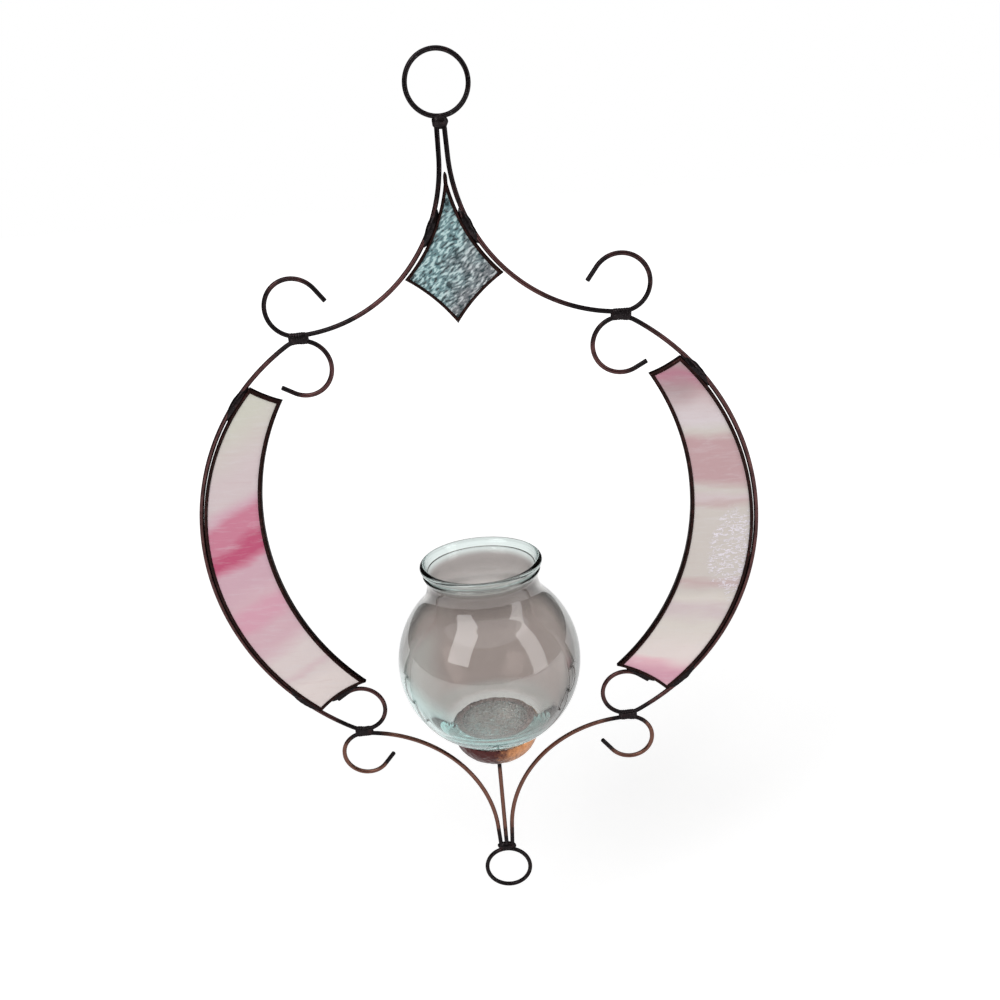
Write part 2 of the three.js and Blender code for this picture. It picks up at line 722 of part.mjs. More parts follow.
add('hang_ring', ringGeometry(hangRingCentre, hangRingRadius), finishes.darkWire);
add('bottom_ring', ringGeometry(bottomRingCentre, bottomRingRadius), finishes.darkWire);
addPair('top_wire', wireGeometry(topPath), finishes.wire);
addPair('side_wire', wireGeometry(sidePath), finishes.wire);
addPair('bottom_wire', wireGeometry(bottomPath), finishes.wire);
add('stem_wire', wireGeometry(stemPath), finishes.wire);
add('ring_solder_top', topSolder, finishes.solder);
add('ring_solder_bottom', bottomSolder, finishes.solder);
addPair('upper_binding', bindingGeometry(
  upperJoint,
  upperJointTilt,
  [topBowRadius, scrollRootRadius],
  [upperCurlRadius, upperCurlRadius],
  [topCutter, sideCutter],
), finishes.solder);
addPair('lower_binding', bindingGeometry(
  lowerJoint,
  lowerJointTilt,
  [lowerCurlRadius, lowerCurlRadius],
  [bottomBowRadius, footCurlRadius],
  [sideCutter, bottomCutter],
), finishes.solder);
add('kite_glass', glassGeometry(kitePane), finishes.kiteGlass);
add('kite_foil', foilGeometry(kitePane), finishes.foil);
addPair('kite_solder', kiteSeam, finishes.solder);
addPair('crescent_glass', glassGeometry(crescentPane), finishes.crescentGlass);
addPair('crescent_foil', foilGeometry(crescentPane), finishes.foil);
addPair('crescent_solder_upper', flankSeam(topCornerHeading, -upperSeamLength), finishes.solder);
addPair('crescent_solder_lower', flankSeam(bottomCornerHeading, lowerSeamLength), finishes.solder);
addPair('crescent_solder_tail', tailSeam, finishes.solder);
add('copper_cup', cupGeometry, finishes.copper);
add('stem_solder', stemFillet, finishes.solder);
add('glass_bowl', bowlGeometry, finishes.clearGlass, vase);

export default vase;
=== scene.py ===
# Hanging propagation vase: bent copper wire, three foiled panes, a hammered cup and a glass bowl,
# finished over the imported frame. Metres, +Z up. The wire frame is flat in the XZ plane and faces -Y.

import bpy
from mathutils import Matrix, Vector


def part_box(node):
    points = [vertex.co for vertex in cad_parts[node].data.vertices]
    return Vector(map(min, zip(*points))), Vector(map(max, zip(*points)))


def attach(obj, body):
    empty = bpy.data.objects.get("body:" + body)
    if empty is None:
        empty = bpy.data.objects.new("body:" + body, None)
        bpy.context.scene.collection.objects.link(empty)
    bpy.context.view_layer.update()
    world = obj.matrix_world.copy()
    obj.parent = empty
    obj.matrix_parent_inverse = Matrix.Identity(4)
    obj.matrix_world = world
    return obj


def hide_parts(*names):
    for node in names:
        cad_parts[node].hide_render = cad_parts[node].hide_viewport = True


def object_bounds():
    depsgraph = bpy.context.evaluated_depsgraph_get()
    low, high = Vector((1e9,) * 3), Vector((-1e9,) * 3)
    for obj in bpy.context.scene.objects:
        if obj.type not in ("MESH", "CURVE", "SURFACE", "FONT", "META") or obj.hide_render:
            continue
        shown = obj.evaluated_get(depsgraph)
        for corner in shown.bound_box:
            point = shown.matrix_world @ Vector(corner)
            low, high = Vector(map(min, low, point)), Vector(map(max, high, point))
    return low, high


bl_info = {
    "name": "Hanging propagation vase",
    "version": (1, 0, 0),
    "blender": (4, 5, 0),
    "location": "3D View > Sidebar > Vase",
    "description": "Makes the finished pieces of a hanging propagation vase over its packed frame",
    "category": "Add Mesh",
}

import math

import bmesh
import bpy
from bpy.props import FloatProperty, FloatVectorProperty, PointerProperty
from bpy.types import Operator, Panel, PropertyGroup
from mathutils import Matrix, Vector, noise

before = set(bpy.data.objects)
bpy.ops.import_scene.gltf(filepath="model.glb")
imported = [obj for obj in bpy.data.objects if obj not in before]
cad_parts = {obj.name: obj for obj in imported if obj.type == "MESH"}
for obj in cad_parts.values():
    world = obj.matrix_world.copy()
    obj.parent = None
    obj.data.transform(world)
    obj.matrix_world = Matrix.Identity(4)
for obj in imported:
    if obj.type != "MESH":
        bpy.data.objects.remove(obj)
CAD_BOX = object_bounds()

MM = 0.001
TURN = 2 * math.pi
QUARTER = math.pi / 2
SIDES = (("right", 1), ("left", -1))

STEM_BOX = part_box("stem_wire")
HANG_RING_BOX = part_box("hang_ring")
BOTTOM_RING_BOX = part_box("bottom_ring")
CUP_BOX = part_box("copper_cup")
BOWL_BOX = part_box("glass_bowl")
WIRE = STEM_BOX[1].x - STEM_BOX[0].x

# Points round a wire, a seam or binding, a lump on the centre line, the cup and the bowl
WIRE_POINTS = 16
SOLDER_POINTS = 18
BLOB_POINTS = 28
CUP_POINTS = 250
BOWL_POINTS = 192

# Cells across and up the face of a pane
KITE_CELLS = (170, 170)
CRESCENT_CELLS = (210, 36)

# How far a seam laps over the edge of its foil, half its width and half its depth
SEAM_LAP = 0.45 * MM
SEAM_HALF_WIDTH = 2.2 * MM
SEAM_HALF_DEPTH = 1.95 * MM


# Properties


def length(name, description, default):
    return FloatProperty(name=name, description=description, default=default, unit="LENGTH", precision=5)


def angle(name, description, degrees):
    return FloatProperty(name=name, description=description, default=math.radians(degrees), subtype="ANGLE")


def power(name, description, default):
    return FloatProperty(name=name, description=description, default=default, unit="POWER")


def colour(name, description, default):
    return FloatVectorProperty(
        name=name, description=description, default=default, size=3, subtype="COLOR", min=0, max=1
    )


class VaseWires(PropertyGroup):
    """Bends of the wires, measured on the centre line"""

    diameter: length("Wire diameter", "Thickness of the copper wire", WIRE)
    gap: length("Wire gap", "Gap left for solder where two wires kiss", 0.15 * MM)
    top_spread: length("Top spread", "Centre line to the start of a top wire", 1.45 * MM)
    top_lead: length("Top lead", "Straight run under the hanging ring", 13.4 * MM)
    top_heading: angle("Top heading", "Heading of the straight run", -88.7)
    top_bow: length("Top bow", "Radius of the bow out to the upper joint", 68.7 * MM)
    upper_tilt: angle("Upper joint tilt", "Heading where the top wire kisses the side wire", -2.7)
    scroll_root: length("Scroll root", "Radius of the scroll where it leaves the joint", 11.85 * MM)
    scroll_root_turn: angle("Scroll root turn", "Turn of the scroll's root", 106)
    scroll_tip: length("Scroll tip", "Radius of the scroll near its end", 12 * MM)
    scroll_tip_turn: angle("Scroll tip turn", "Turn of the scroll near its end", 130)
    scroll_tail: length("Scroll tail", "Straight end of the scroll", 6.8 * MM)
    flank: length("Flank", "Radius of the long round flank", 107.5 * MM)
    upper_sweep: angle("Upper sweep", "Flank from its widest place up to the curl", 57.5)
    lower_sweep: angle("Lower sweep", "Flank from its widest place down to the curl", 60.75)
    upper_curl: length("Upper curl", "Radius of the flank's upper curl", 11.7 * MM)
    upper_curl_turn: angle("Upper curl turn", "Turn of the upper curl", 241)
    upper_curl_tail: length("Upper curl tail", "Straight end of the upper curl", 5.75 * MM)
    lower_curl: length("Lower curl", "Radius of the flank's lower curl", 10.95 * MM)
    lower_curl_turn: angle("Lower curl turn", "Turn of the lower curl", 244.5)
    lower_curl_tail: length("Lower curl tail", "Straight end of the lower curl", 5.2 * MM)
    bottom_spread: length("Bottom spread", "Centre line to the start of a bottom wire", 2.7 * MM)
    bottom_lead: length("Bottom lead", "Straight run over the bottom ring", 12.4 * MM)
    bottom_heading: angle("Bottom heading", "Heading of the straight run", 86.8)
    lower_tilt: angle("Lower joint tilt", "Heading where the bottom wire kisses the side wire", 1.35)
    foot_curl: length("Foot curl", "Radius of the bottom wire's curl", 10.7 * MM)
    foot_curl_turn: angle("Foot curl turn", "Turn of the bottom wire's curl", 232)
    foot_curl_tail: length("Foot curl tail", "Straight end of the bottom wire's curl", 7.5 * MM)
    binding: length("Binding", "Length of the fine wire wound round a joint", 8.6 * MM)


class VasePanes(PropertyGroup):
    """Outlines of the three panes"""

    thickness: length("Glass thickness", "Thickness of a pane", 3 * MM)
    foil: length("Foil", "Thickness of the foil with its solder", 0.4 * MM)
    lip: length("Foil lip", "Width of the foil on the face of a crescent", 1.5 * MM)
    kite_lip: length("Kite foil lip", "Width of the foil on the face of the kite", 1.25 * MM)
    crown: length("Foil crown", "Height of the solder bead over the glass", 0.55 * MM)
    kite_tip: length("Kite tip", "Top of the kite below the top wires", 20.35 * MM)
    kite_shoulder: length("Kite shoulder", "Kite's tip to its widest place", 40.4 * MM)
    kite_height: length("Kite height", "Kite's tip to its lowest corner", 59.5 * MM)
    kite_gap: length("Kite gap", "Kite to the top wires", 0.55 * MM)
    kite_hollow: length("Kite hollow", "Hollow of the kite's lower sides", 1.35 * MM)
    crescent_gap: length("Crescent gap", "Crescent to the flank", 0.45 * MM)
    crescent_width: length("Crescent width", "Width of a crescent across its middle", 27 * MM)
    crescent_flattening: length("Inner flattening", "Inner side's radius over the outer side's", 2.1 * MM)
    crescent_rise: length("Inner rise", "Inner side's centre over the flank's", 10.6 * MM)
    top_inset: length("Top inset", "Crescent's top corner along the flank from its end", 24.7 * MM)
    top_slope: angle("Top slope", "Slope of the crescent's top edge", 26.2)
    top_hollow: length("Top hollow", "Hollow of the top edge", 0.5 * MM)
    bottom_hollow: length("Bottom hollow", "Hollow of the bottom edge", 1.6 * MM)
    tail_gap: length("Tail gap", "Bottom edge to the lower curl's tail", 0.45 * MM)
    tail_splay: angle("Tail splay", "Bottom edge against the lower curl's tail", 3.6)
    ripple: length("Ripple depth", "Relief of the kite's rippled glass", 0.42 * MM)


class VaseVessel(PropertyGroup):
    """Cup and bowl, both round about the centre line"""

    cup_wall: length("Cup wall", "Thickness of the copper sheet", 0.8 * MM)
    hammer_mark: length("Hammer mark", "Width of one mark of the hammer", 2.4 * MM)
    hammer_depth: length("Hammer depth", "Depth of the marks", 0.28 * MM)
    bowl_radius: length("Bowl radius", "Outside radius of the ball", 42 * MM)
    bowl_wall: length("Bowl wall", "Thickness of the blown wall", 2.2 * MM)
    foot_radius: length("Foot radius", "Radius of the flat foot", 18 * MM)
    foot_recess: length("Foot recess", "Depth of the recess under the foot", 0.8 * MM)
    foot_rim: length("Foot rim", "Width of the rim round the recess", 2 * MM)
    floor_thickness: length("Floor thickness", "Glass between foot and water", 8.4 * MM)
    floor_radius: length("Floor radius", "Radius of the flat floor inside", 17 * MM)
    floor_corner: length("Floor corner", "Height of the round corner of the floor", 7 * MM)
    shoulder: angle("Shoulder", "Height on the ball where the shoulder leaves it", 36)
    neck_radius: length("Neck radius", "Outside radius of the neck", 25.2 * MM)
    neck_rise: length("Neck rise", "Ball's centre to the neck", 40.5 * MM)
    ridge_radius: length("Ridge radius", "Outside radius of the ridge", 26.6 * MM)
    ridge_rise: length("Ridge rise", "Ball's centre to the ridge", 44.7 * MM)
    ridge_thickness: length("Ridge thickness", "Thickness of the ridge", 2 * MM)
    lip_radius: length("Lip radius", "Radius of the rolled lip's middle", 26.1 * MM)
    lip_rise: length("Lip rise", "Ball's centre to the lip", 48.3 * MM)
    lip_thickness: length("Lip thickness", "Thickness of the rolled lip", 3 * MM)


class VaseColours(PropertyGroup):
    """Colours of the finishes"""

    patina: colour("Patina", "Black patina on wire and solder", (0.016, 0.013, 0.014))
    red_brown: colour("Red-brown", "Copper seen through thin patina", (0.078, 0.027, 0.026))
    bright_copper: colour("Bright copper", "Rubbed copper", (0.62, 0.285, 0.13))
    # Painted sparkle: the inside of the cup is a pale, nearly white metal, so the stippled foot of the bowl
    # over it shows a pale sparkling net
    painted_sparkle_lining: colour("Cup lining", "Bright rubbed copper inside the cup", (1.0, 0.82, 0.80))
    tin: colour("Tin", "Solder rubbed bright", (0.42, 0.41, 0.40))
    foil: colour("Foil", "Black foil with a maroon cast", (0.017, 0.008, 0.007))
    # The next four colours are set by the ripples' height: painted shade in the hollows, the glass's own
    # body colour, then painted highlights on the crests and on the highest crests
    ripple_valley_shade: colour("Valley", "Dark lines between the ripples", (0.030, 0.055, 0.062))
    teal: colour("Teal", "Body of the rippled glass", (0.150, 0.265, 0.285))
    aqua: colour("Aqua", "Crests of the rippled glass", (0.40, 0.60, 0.61))
    glint: colour("Glint", "Highest crests of the rippled glass", (0.60, 0.79, 0.79))
    smoke: colour("Smoke", "Grey-mauve side of the rippled glass", (0.200, 0.175, 0.190))
    ivory: colour("Ivory", "Grey cream of the opal glass", (0.60, 0.585, 0.505))
    blush: colour("Blush", "Pale pink grey of the opal glass", (0.63, 0.52, 0.53))
    dusk: colour("Dusk", "Dusty pink of the opal glass", (0.52, 0.325, 0.34))
    rose: colour("Rose", "Pink of the opal glass", (0.665, 0.335, 0.425))
    orchid: colour("Orchid", "Mauve pink of the opal glass", (0.615, 0.375, 0.445))
    magenta: colour("Magenta", "Deepest streak of the opal glass", (0.50, 0.055, 0.15))
    pearl: colour("Pearl", "Light pink cream low on the opal glass", (0.79, 0.69, 0.665))
    shell: colour("Shell", "Light pink at the foot of the right crescent", (0.80, 0.50, 0.55))
    # The opal glass's own white wisps and flecks, and also the painted highlight on the highest crests of
    # the kite's grey side
    cloud_and_crest_glint: colour("Cloud", "White wisps and flecks of the opal glass", (0.74, 0.72, 0.76))
    # Painted room shade: a grey that stands for dark surroundings seen in and through the clear wall of the
    # bowl
    painted_room_shade: colour("Smoky", "Grey of the blown glass", (0.565, 0.51, 0.49))
    sea: colour("Sea", "Tint of the bowl where the glass is thick", (0.30, 0.90, 0.885))
    clear: colour("Clear", "Glass of the foot and the floor", (0.97, 0.985, 0.985))
    tinge: colour("Tinge", "Aqua of the low wall and the lip", (0.80, 0.955, 0.945))
    # Painted shade: this grey darkens the wall's colour where the bowl is seen edge on
    rim_shade: colour("Rim shade", "Grey of the blown glass seen edge on", (0.07, 0.075, 0.075))
    edge_tint: colour("Edge tint", "Patinated metal seen edge on", (0.30, 0.26, 0.26))


class VaseStage(PropertyGroup):
    """Floor, lamps and camera"""

    floor_drop: length("Floor drop", "Floor below the bottom ring", 40 * MM)
    floor_size: length("Floor size", "Half the width of the floor", 4.0)
    key_power: power("Key lamp", "Power of the large lamp", 9.5)
    fill_power: power("Fill lamp", "Power of the tall lamp", 4.5)
    room_light: FloatProperty(name="Room light", description="Strength of the world's light", default=0.52)
    lens: FloatProperty(name="Lens", description="Focal length", default=40.334, unit="CAMERA")


PROPERTY_GROUPS = {
    "vase_wires": VaseWires,
    "vase_panes": VasePanes,
    "vase_vessel": VaseVessel,
    "vase_colours": VaseColours,
    "vase_stage": VaseStage,
}


# Plane geometry: a place is a 2D vector, x to the right and z up


def along(heading):
    return Vector((math.cos(heading), math.sin(heading)))


def heading_to(start, end):
    return math.atan2(end.y - start.y, end.x - start.x)


class Circle:
    """A side of a pane. The pane's glass lies inside or outside it."""

    def __init__(self, centre, radius, glass_inside=False):
        self.centre = centre
        self.radius = radius
        self.glass_inside = glass_inside

    def moved_in(self, inset):
        return Circle(self.centre, self.radius + (-inset if self.glass_inside else inset), self.glass_inside)

    def mirrored(self):
        return Circle(Vector((-self.centre.x, self.centre.y)), self.radius, self.glass_inside)


def hollow_circle(start, end, hollow):
    """The circle whose arc between two places sinks by a hollow to the left of the way between them"""
    half = (end - start).length / 2
    radius = (half**2 + hollow**2) / (2 * hollow)
    return Circle((start + end) / 2 + along(heading_to(start, end) - QUARTER) * (radius - hollow), radius)


def line_meets(start, heading, circle):
    """The place where a line meets a circle, the far one of the two along its heading"""
    way = along(heading)
    to_centre = circle.centre - start
    off = to_centre.x * way.y - to_centre.y * way.x
    return start + way * (to_centre.dot(way) + math.sqrt(circle.radius**2 - off**2))


def circles_meet(first, second, hint):
    """The place where two circles cross, the one nearer to a hint"""
    apart = (second.centre - first.centre).length
    reach = (first.radius**2 - second.radius**2 + apart**2) / (2 * apart)
    half = math.sqrt(first.radius**2 - reach**2)
    heading = heading_to(first.centre, second.centre)
    middle = first.centre + along(heading) * reach
    found = [middle + along(heading + side * QUARTER) * half for side in (1, -1)]
    return min(found, key=lambda place: (place - hint).length)


def walk(start, heading, runs, step=0.8 * MM):
    """Stations (place, heading) along straight runs (length, 0) and bends (radius, turn to the left)"""
    stations = [(start, heading)]
    for size, turn in runs:
        side = math.copysign(QUARTER, turn)
        centre = start + along(heading + side) * size
        count = max(1, math.ceil(size * (abs(turn) or 1) / step))
        for i in range(1, count + 1):
            share = i / count
            if turn == 0:
                stations.append((start + along(heading) * size * share, heading))
            else:
                way = heading + turn * share
                stations.append((centre - along(way + side) * size, way))
        start, heading = stations[-1]
    return stations


def reversed_way(stations):
    return [(place, heading + math.pi) for place, heading in reversed(stations)]


class Wires:
    """Every place of the wire frame, worked out from the bends"""

    def __init__(self, sizes):
        self.sizes = w = sizes
        self.kiss = kiss = w.diameter + w.gap
        top_start = Vector((w.top_spread, HANG_RING_BOX[0].z - w.gap))
        lead_and_bow = [(w.top_lead, 0), (w.top_bow, w.upper_tilt - w.top_heading)]
        scroll = [(w.scroll_root, w.scroll_root_turn), (w.scroll_tip, w.scroll_tip_turn), (w.scroll_tail, 0)]
        self.top = walk(top_start, w.top_heading, lead_and_bow + scroll)
        bow_end = walk(top_start, w.top_heading, lead_and_bow)[-1][0]
        self.top_bow_centre = bow_end + along(w.upper_tilt + QUARTER) * w.top_bow
        self.upper_joint = bow_end + along(w.upper_tilt - QUARTER) * kiss / 2
        curl_centre = bow_end + along(w.upper_tilt - QUARTER) * (kiss + w.upper_curl)
        self.flank_centre = curl_centre - along(w.upper_sweep) * (w.flank - w.upper_curl)

        widest = self.flank_centre + Vector((w.flank, 0))
        upper_curl = [(w.upper_curl, w.upper_curl_turn), (w.upper_curl_tail, 0)]
        upper = walk(widest, QUARTER, [(w.flank, w.upper_sweep)] + upper_curl)
        lower_curl = [(w.lower_curl, -w.lower_curl_turn)]
        lower_start = walk(widest, -QUARTER, [(w.flank, -w.lower_sweep)])[-1]
        self.lower_tail = walk(widest, -QUARTER, [(w.flank, -w.lower_sweep)] + lower_curl)[-1]
        lower = walk(widest, -QUARTER, [(w.flank, -w.lower_sweep)] + lower_curl + [(w.lower_curl_tail, 0)])
        self.side = reversed_way(upper)[:-1] + lower

        lower_centre = lower_start[0] + along(lower_start[1] - QUARTER) * w.lower_curl
        down = along(w.lower_tilt - QUARTER)
        self.lower_joint = lower_centre + down * (w.lower_curl + kiss / 2)
        bottom_bow_end = lower_centre + down * (w.lower_curl + kiss)
        lead_way = along(w.bottom_heading)
        joint_way = along(w.lower_tilt)
        reach = bottom_bow_end.x - w.bottom_spread - w.bottom_lead * lead_way.x
        self.bottom_bow = reach / (lead_way.y - joint_way.y)
        climb = w.bottom_lead * lead_way.y + self.bottom_bow * (joint_way.x - lead_way.x)
        bottom_start = Vector((w.bottom_spread, bottom_bow_end.y - climb))
        self.bottom = walk(bottom_start, w.bottom_heading, [
            (w.bottom_lead, 0),
            (self.bottom_bow, w.lower_tilt - w.bottom_heading),
            (w.foot_curl, -w.foot_curl_turn),
            (w.foot_curl_tail, 0),
        ])


class Pane:
    """A pane with four round sides. Side i runs from corner i to the next one."""

    def __init__(self, sides, corners):
        self.sides = sides
        self.corners = corners

    def side_points(self, inset, counts):
        """Points of each side moved into the glass by an inset, both ends included"""
        circles = [side.moved_in(inset) for side in self.sides]
        corners = [circles_meet(circles[i - 1], circles[i], self.corners[i]) for i in range(4)]
        points = []
        for i, circle in enumerate(circles):
            start = heading_to(circle.centre, corners[i])
            sweep = heading_to(circle.centre, corners[(i + 1) % 4]) - start
            sweep -= TURN * round(sweep / TURN)
            points.append([
                circle.centre + along(start + sweep * step / counts[i]) * circle.radius
                for step in range(counts[i] + 1)
            ])
        return points

    def outline(self, inset, step):
        """The whole outline, with as many points for any inset"""
        spans = [(self.corners[(i + 1) % 4] - self.corners[i]).length for i in range(4)]
        counts = [max(4, round(span / step)) for span in spans]
        return [place for side in self.side_points(inset, counts) for place in side[:-1]]

    def grid(self, inset, across, up):
        """Rows of places that fill the pane between its sides"""
        first, second, third, fourth = self.side_points(inset, [across, up, across, up])
        third.reverse()
        fourth.reverse()
        rows = []
        for j in range(up + 1):
            v = j / up
            row = []
            for i in range(across + 1):
                u = i / across
                ruled = first[i] * (1 - v) + third[i] * v + fourth[j] * (1 - u) + second[j] * u
                low = first[0] * (1 - u) + first[-1] * u
                high = third[0] * (1 - u) + third[-1] * u
                row.append(ruled - low * (1 - v) - high * v)
            rows.append(row)
        return rows


def kite_pane(wires, panes):
    w = wires.sizes
    tip = Vector((0, HANG_RING_BOX[0].z - w.gap - panes.kite_tip))
    bottom = tip - Vector((0, panes.kite_height))
    radius = w.top_bow + w.diameter / 2 + panes.kite_gap
    shoulder_z = tip.y - panes.kite_shoulder
    reach = math.sqrt(radius**2 - (shoulder_z - wires.top_bow_centre.y) ** 2)
    right = Vector((wires.top_bow_centre.x - reach, shoulder_z))
    hollow = radius - math.sqrt(radius**2 - ((tip - right).length / 2) ** 2)
    upper = hollow_circle(right, tip, hollow)
    lower = hollow_circle(bottom, right, panes.kite_hollow)
    left = Vector((-right.x, right.y))
    return Pane([upper.mirrored(), lower.mirrored(), lower, upper], [tip, left, bottom, right])


def crescent_pane(wires, panes):
    w = wires.sizes
    p = panes
    outer = Circle(wires.flank_centre, w.flank - w.diameter / 2 - p.crescent_gap, True)
    inner_centre = outer.centre + Vector((-p.crescent_width - p.crescent_flattening, p.crescent_rise))
    inner = Circle(inner_centre, outer.radius + p.crescent_flattening)
    top_corner = outer.centre + along(w.upper_sweep - p.top_inset / w.flank) * outer.radius
    top_inner = line_meets(top_corner - along(p.top_slope) * p.crescent_width, p.top_slope, inner)
    tail_place, tail_heading = wires.lower_tail
    tail_offset = w.diameter / 2 + p.tail_gap - p.bottom_hollow
    bottom_slope = tail_heading + p.tail_splay
    bottom_corner = line_meets(tail_place + along(tail_heading + QUARTER) * tail_offset, bottom_slope, outer)
    bottom_start = bottom_corner - along(bottom_slope) * p.crescent_width * 1.2
    bottom_inner = line_meets(bottom_start, bottom_slope, inner)
    top = hollow_circle(top_corner, top_inner, p.top_hollow)
    bottom = hollow_circle(bottom_inner, bottom_corner, p.bottom_hollow)
    return Pane([outer, top, inner, bottom], [bottom_corner, top_corner, top_inner, bottom_inner])


# Meshes


def rough(place, grain, seed=0.0):
    """Smooth noise from -1 to 1 with lumps as wide as the grain"""
    return noise.noise(place / grain + Vector((seed, 3.7 * seed, 0.3)))


def standing(place, depth=0.0, side=1):
    """A place of the frame's plane in space. The left half is the right half turned about the centre line"""
    return Vector((place.x * side, depth * side, place.y))


def skin(rings, closed_round=False, caps=True):
    """Vertices and faces over rings of equal count"""
    size = len(rings[0])
    vertices = [vertex for ring in rings for vertex in ring]
    faces = []
    for ring in range(len(rings) if closed_round else len(rings) - 1):
        here = ring * size
        there = (ring + 1) % len(rings) * size
        faces += [(here + i, here + (i + 1) % size, there + (i + 1) % size, there + i) for i in range(size)]
    if caps and not closed_round:
        faces.append(tuple(range(size)))
        faces.append(tuple(range(len(vertices) - size, len(vertices))))
    return vertices, faces


def join(parts):
    vertices, faces = [], []
    for part_vertices, part_faces in parts:
        first = len(vertices)
        vertices += part_vertices
        faces += [tuple(first + i for i in face) for face in part_faces]
    return vertices, faces


def put_in_scene(name, data):
    """A new object in the scene's own collection"""
    made = bpy.data.objects.new(name, data)
    bpy.context.scene.collection.objects.link(made)
    return made


def new_mesh(name, shape, finish):
    mesh = bpy.data.meshes.new(name)
    mesh.from_pydata(shape[0], [], shape[1])
    mesh.materials.append(finish)
    return mesh


def make_piece(name, shape, finish, nodes, body="frame", masks=None, sharp=35):
    """A finished piece that stands for CAD nodes and moves with their body"""
    mesh = new_mesh(name, shape, finish)
    for mask, values in (masks or {}).items():
        mesh.attributes.new(mask, "FLOAT", "POINT").data.foreach_set("value", values)
    builder = bmesh.new()
    builder.from_mesh(mesh)
    bmesh.ops.recalc_face_normals(builder, faces=builder.faces)
    builder.to_mesh(mesh)
    builder.free()
    mesh.shade_smooth()
    mesh.set_sharp_from_angle(angle=math.radians(sharp))
    made = put_in_scene(name, mesh)
    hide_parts(*nodes)
    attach(made, body)


def wire_shape(stations, radius, side=1, seed=0.0, closed=False):
    """A drawn wire, slightly uneven, with its cut ends eased"""
    ease = 0.25 * MM
    cut_radius = 0.74 * radius
    radii = [radius * (1 - 0.025 * (1 + rough(standing(place), 9 * MM, seed))) for place, _ in stations]
    if not closed:
        (first, first_way), (last, last_way) = stations[0], stations[-1]
        after_first = (first + along(first_way) * ease, first_way)
        before_last = (last - along(last_way) * ease, last_way)
        stations = [stations[0], after_first, *stations[1:-1], before_last, stations[-1]]
        radii = [cut_radius, *radii, cut_radius]
    turns = [TURN * i / WIRE_POINTS for i in range(WIRE_POINTS)]
    rings = []
    for (place, heading), ring_radius in zip(stations, radii):
        out = along(heading + QUARTER) * ring_radius
        rings.append([standing(place + out * math.cos(a), ring_radius * math.sin(a), side) for a in turns])
    return skin(rings, closed)


def bareness(stations, ends):
    """For each vertex of an open wire, 0 at the dark places and 1 far from them"""
    values = []
    for place, _ in [stations[0], *stations, stations[-1]]:
        near = min((place - dark).length / reach for dark, reach in ends)
        values += [min(1.0, max(0.0, near - 0.35))] * WIRE_POINTS
    return values


def solder_ring(centre, heading, reach, back, half_depth, side, lump, seed):
    """A lumpy oval across the frame, its long way along a heading"""
    grain = 2.2 * MM
    way = along(heading)
    ring = []
    for i in range(SOLDER_POINTS):
        a = TURN * i / SOLDER_POINTS
        far = reach if math.cos(a) > 0 else back
        straight_part = math.copysign(far - half_depth, math.cos(a)) * min(1, abs(math.cos(a)) * 4)
        spot_along = straight_part + half_depth * math.cos(a)
        spot = standing(centre + way * spot_along, half_depth * math.sin(a), side)
        middle = standing(centre + way * math.copysign(max(0, far - half_depth), math.cos(a)), 0, side)
        ring.append(middle + (spot - middle) * (1 + lump * (rough(spot, grain, seed) - 0.3)))
    return ring


def leaves(radius, run):
    """How far a wire bent to a radius has left its tangent after a run along it"""
    return radius - math.sqrt(radius**2 - run**2)


def binding_shape(wires, joint, tilt, above, below, side):
    """Fine wire wound round two kissing wires, flooded with solder that runs out between them"""
    half_kiss = wires.kiss / 2
    half_wire = wires.sizes.diameter / 2
    stations = 48
    turns = 8
    rings = []
    for i in range(stations + 1):
        share = i / stations
        run = wires.sizes.binding * (share - 0.5)
        outer = 1 if run > 0 else 0
        full = math.sqrt(max(0.02, 1 - abs(2 * share - 1) ** 3))
        rib = 0.06 * MM * math.sin(TURN * turns * share)
        wall = (half_wire + 0.40 * MM + rib) * full
        up = half_kiss + leaves(above[outer], abs(run)) + wall
        down = half_kiss + leaves(below[outer], abs(run)) + wall
        centre = joint + along(tilt) * run
        rings.append(solder_ring(centre, tilt + QUARTER, up, down, wall, side, 0.16, side * 3 + tilt))
    return skin(rings)


def seam_shape(centre, radius, start, run, half_width, side, seed):
    """A run of solder along a circle, lumpy and drawn out at its ends"""
    stations = max(12, round(abs(run) / (0.4 * MM)))
    rings = []
    for i in range(stations + 1):
        share = i / stations
        way = start + run / radius * share
        full = max(0.03, 1 - abs(2 * share - 1) ** 2) ** 0.7
        swell = 1 + 0.10 * rough(Vector((share * 3, seed, 0)), 0.6, seed)
        width = half_width * (0.1 + 0.9 * full) * swell
        depth = min(SEAM_HALF_DEPTH * full * swell, width)
        rings.append(solder_ring(centre + along(way) * radius, way, width, width, depth, side, 0.12, seed))
    return skin(rings)


def blob_shape(centre_z, half_width, half_depth, half_height, seed):
    """A lump of solder about the centre line"""
    rings = []
    bands = 20
    for i in range(1, bands):
        a = math.pi * i / bands
        ring = []
        for j in range(BLOB_POINTS):
            b = TURN * j / BLOB_POINTS
            way = Vector((math.sin(a) * math.cos(b), math.sin(a) * math.sin(b), math.cos(a)))
            spot = Vector((way.x * half_width, way.y * half_depth, way.z * half_height))
            ring.append(spot * (1 + 0.12 * rough(spot, 2 * MM, seed)) + Vector((0, 0, centre_z)))
        rings.append(ring)
    return skin(rings)


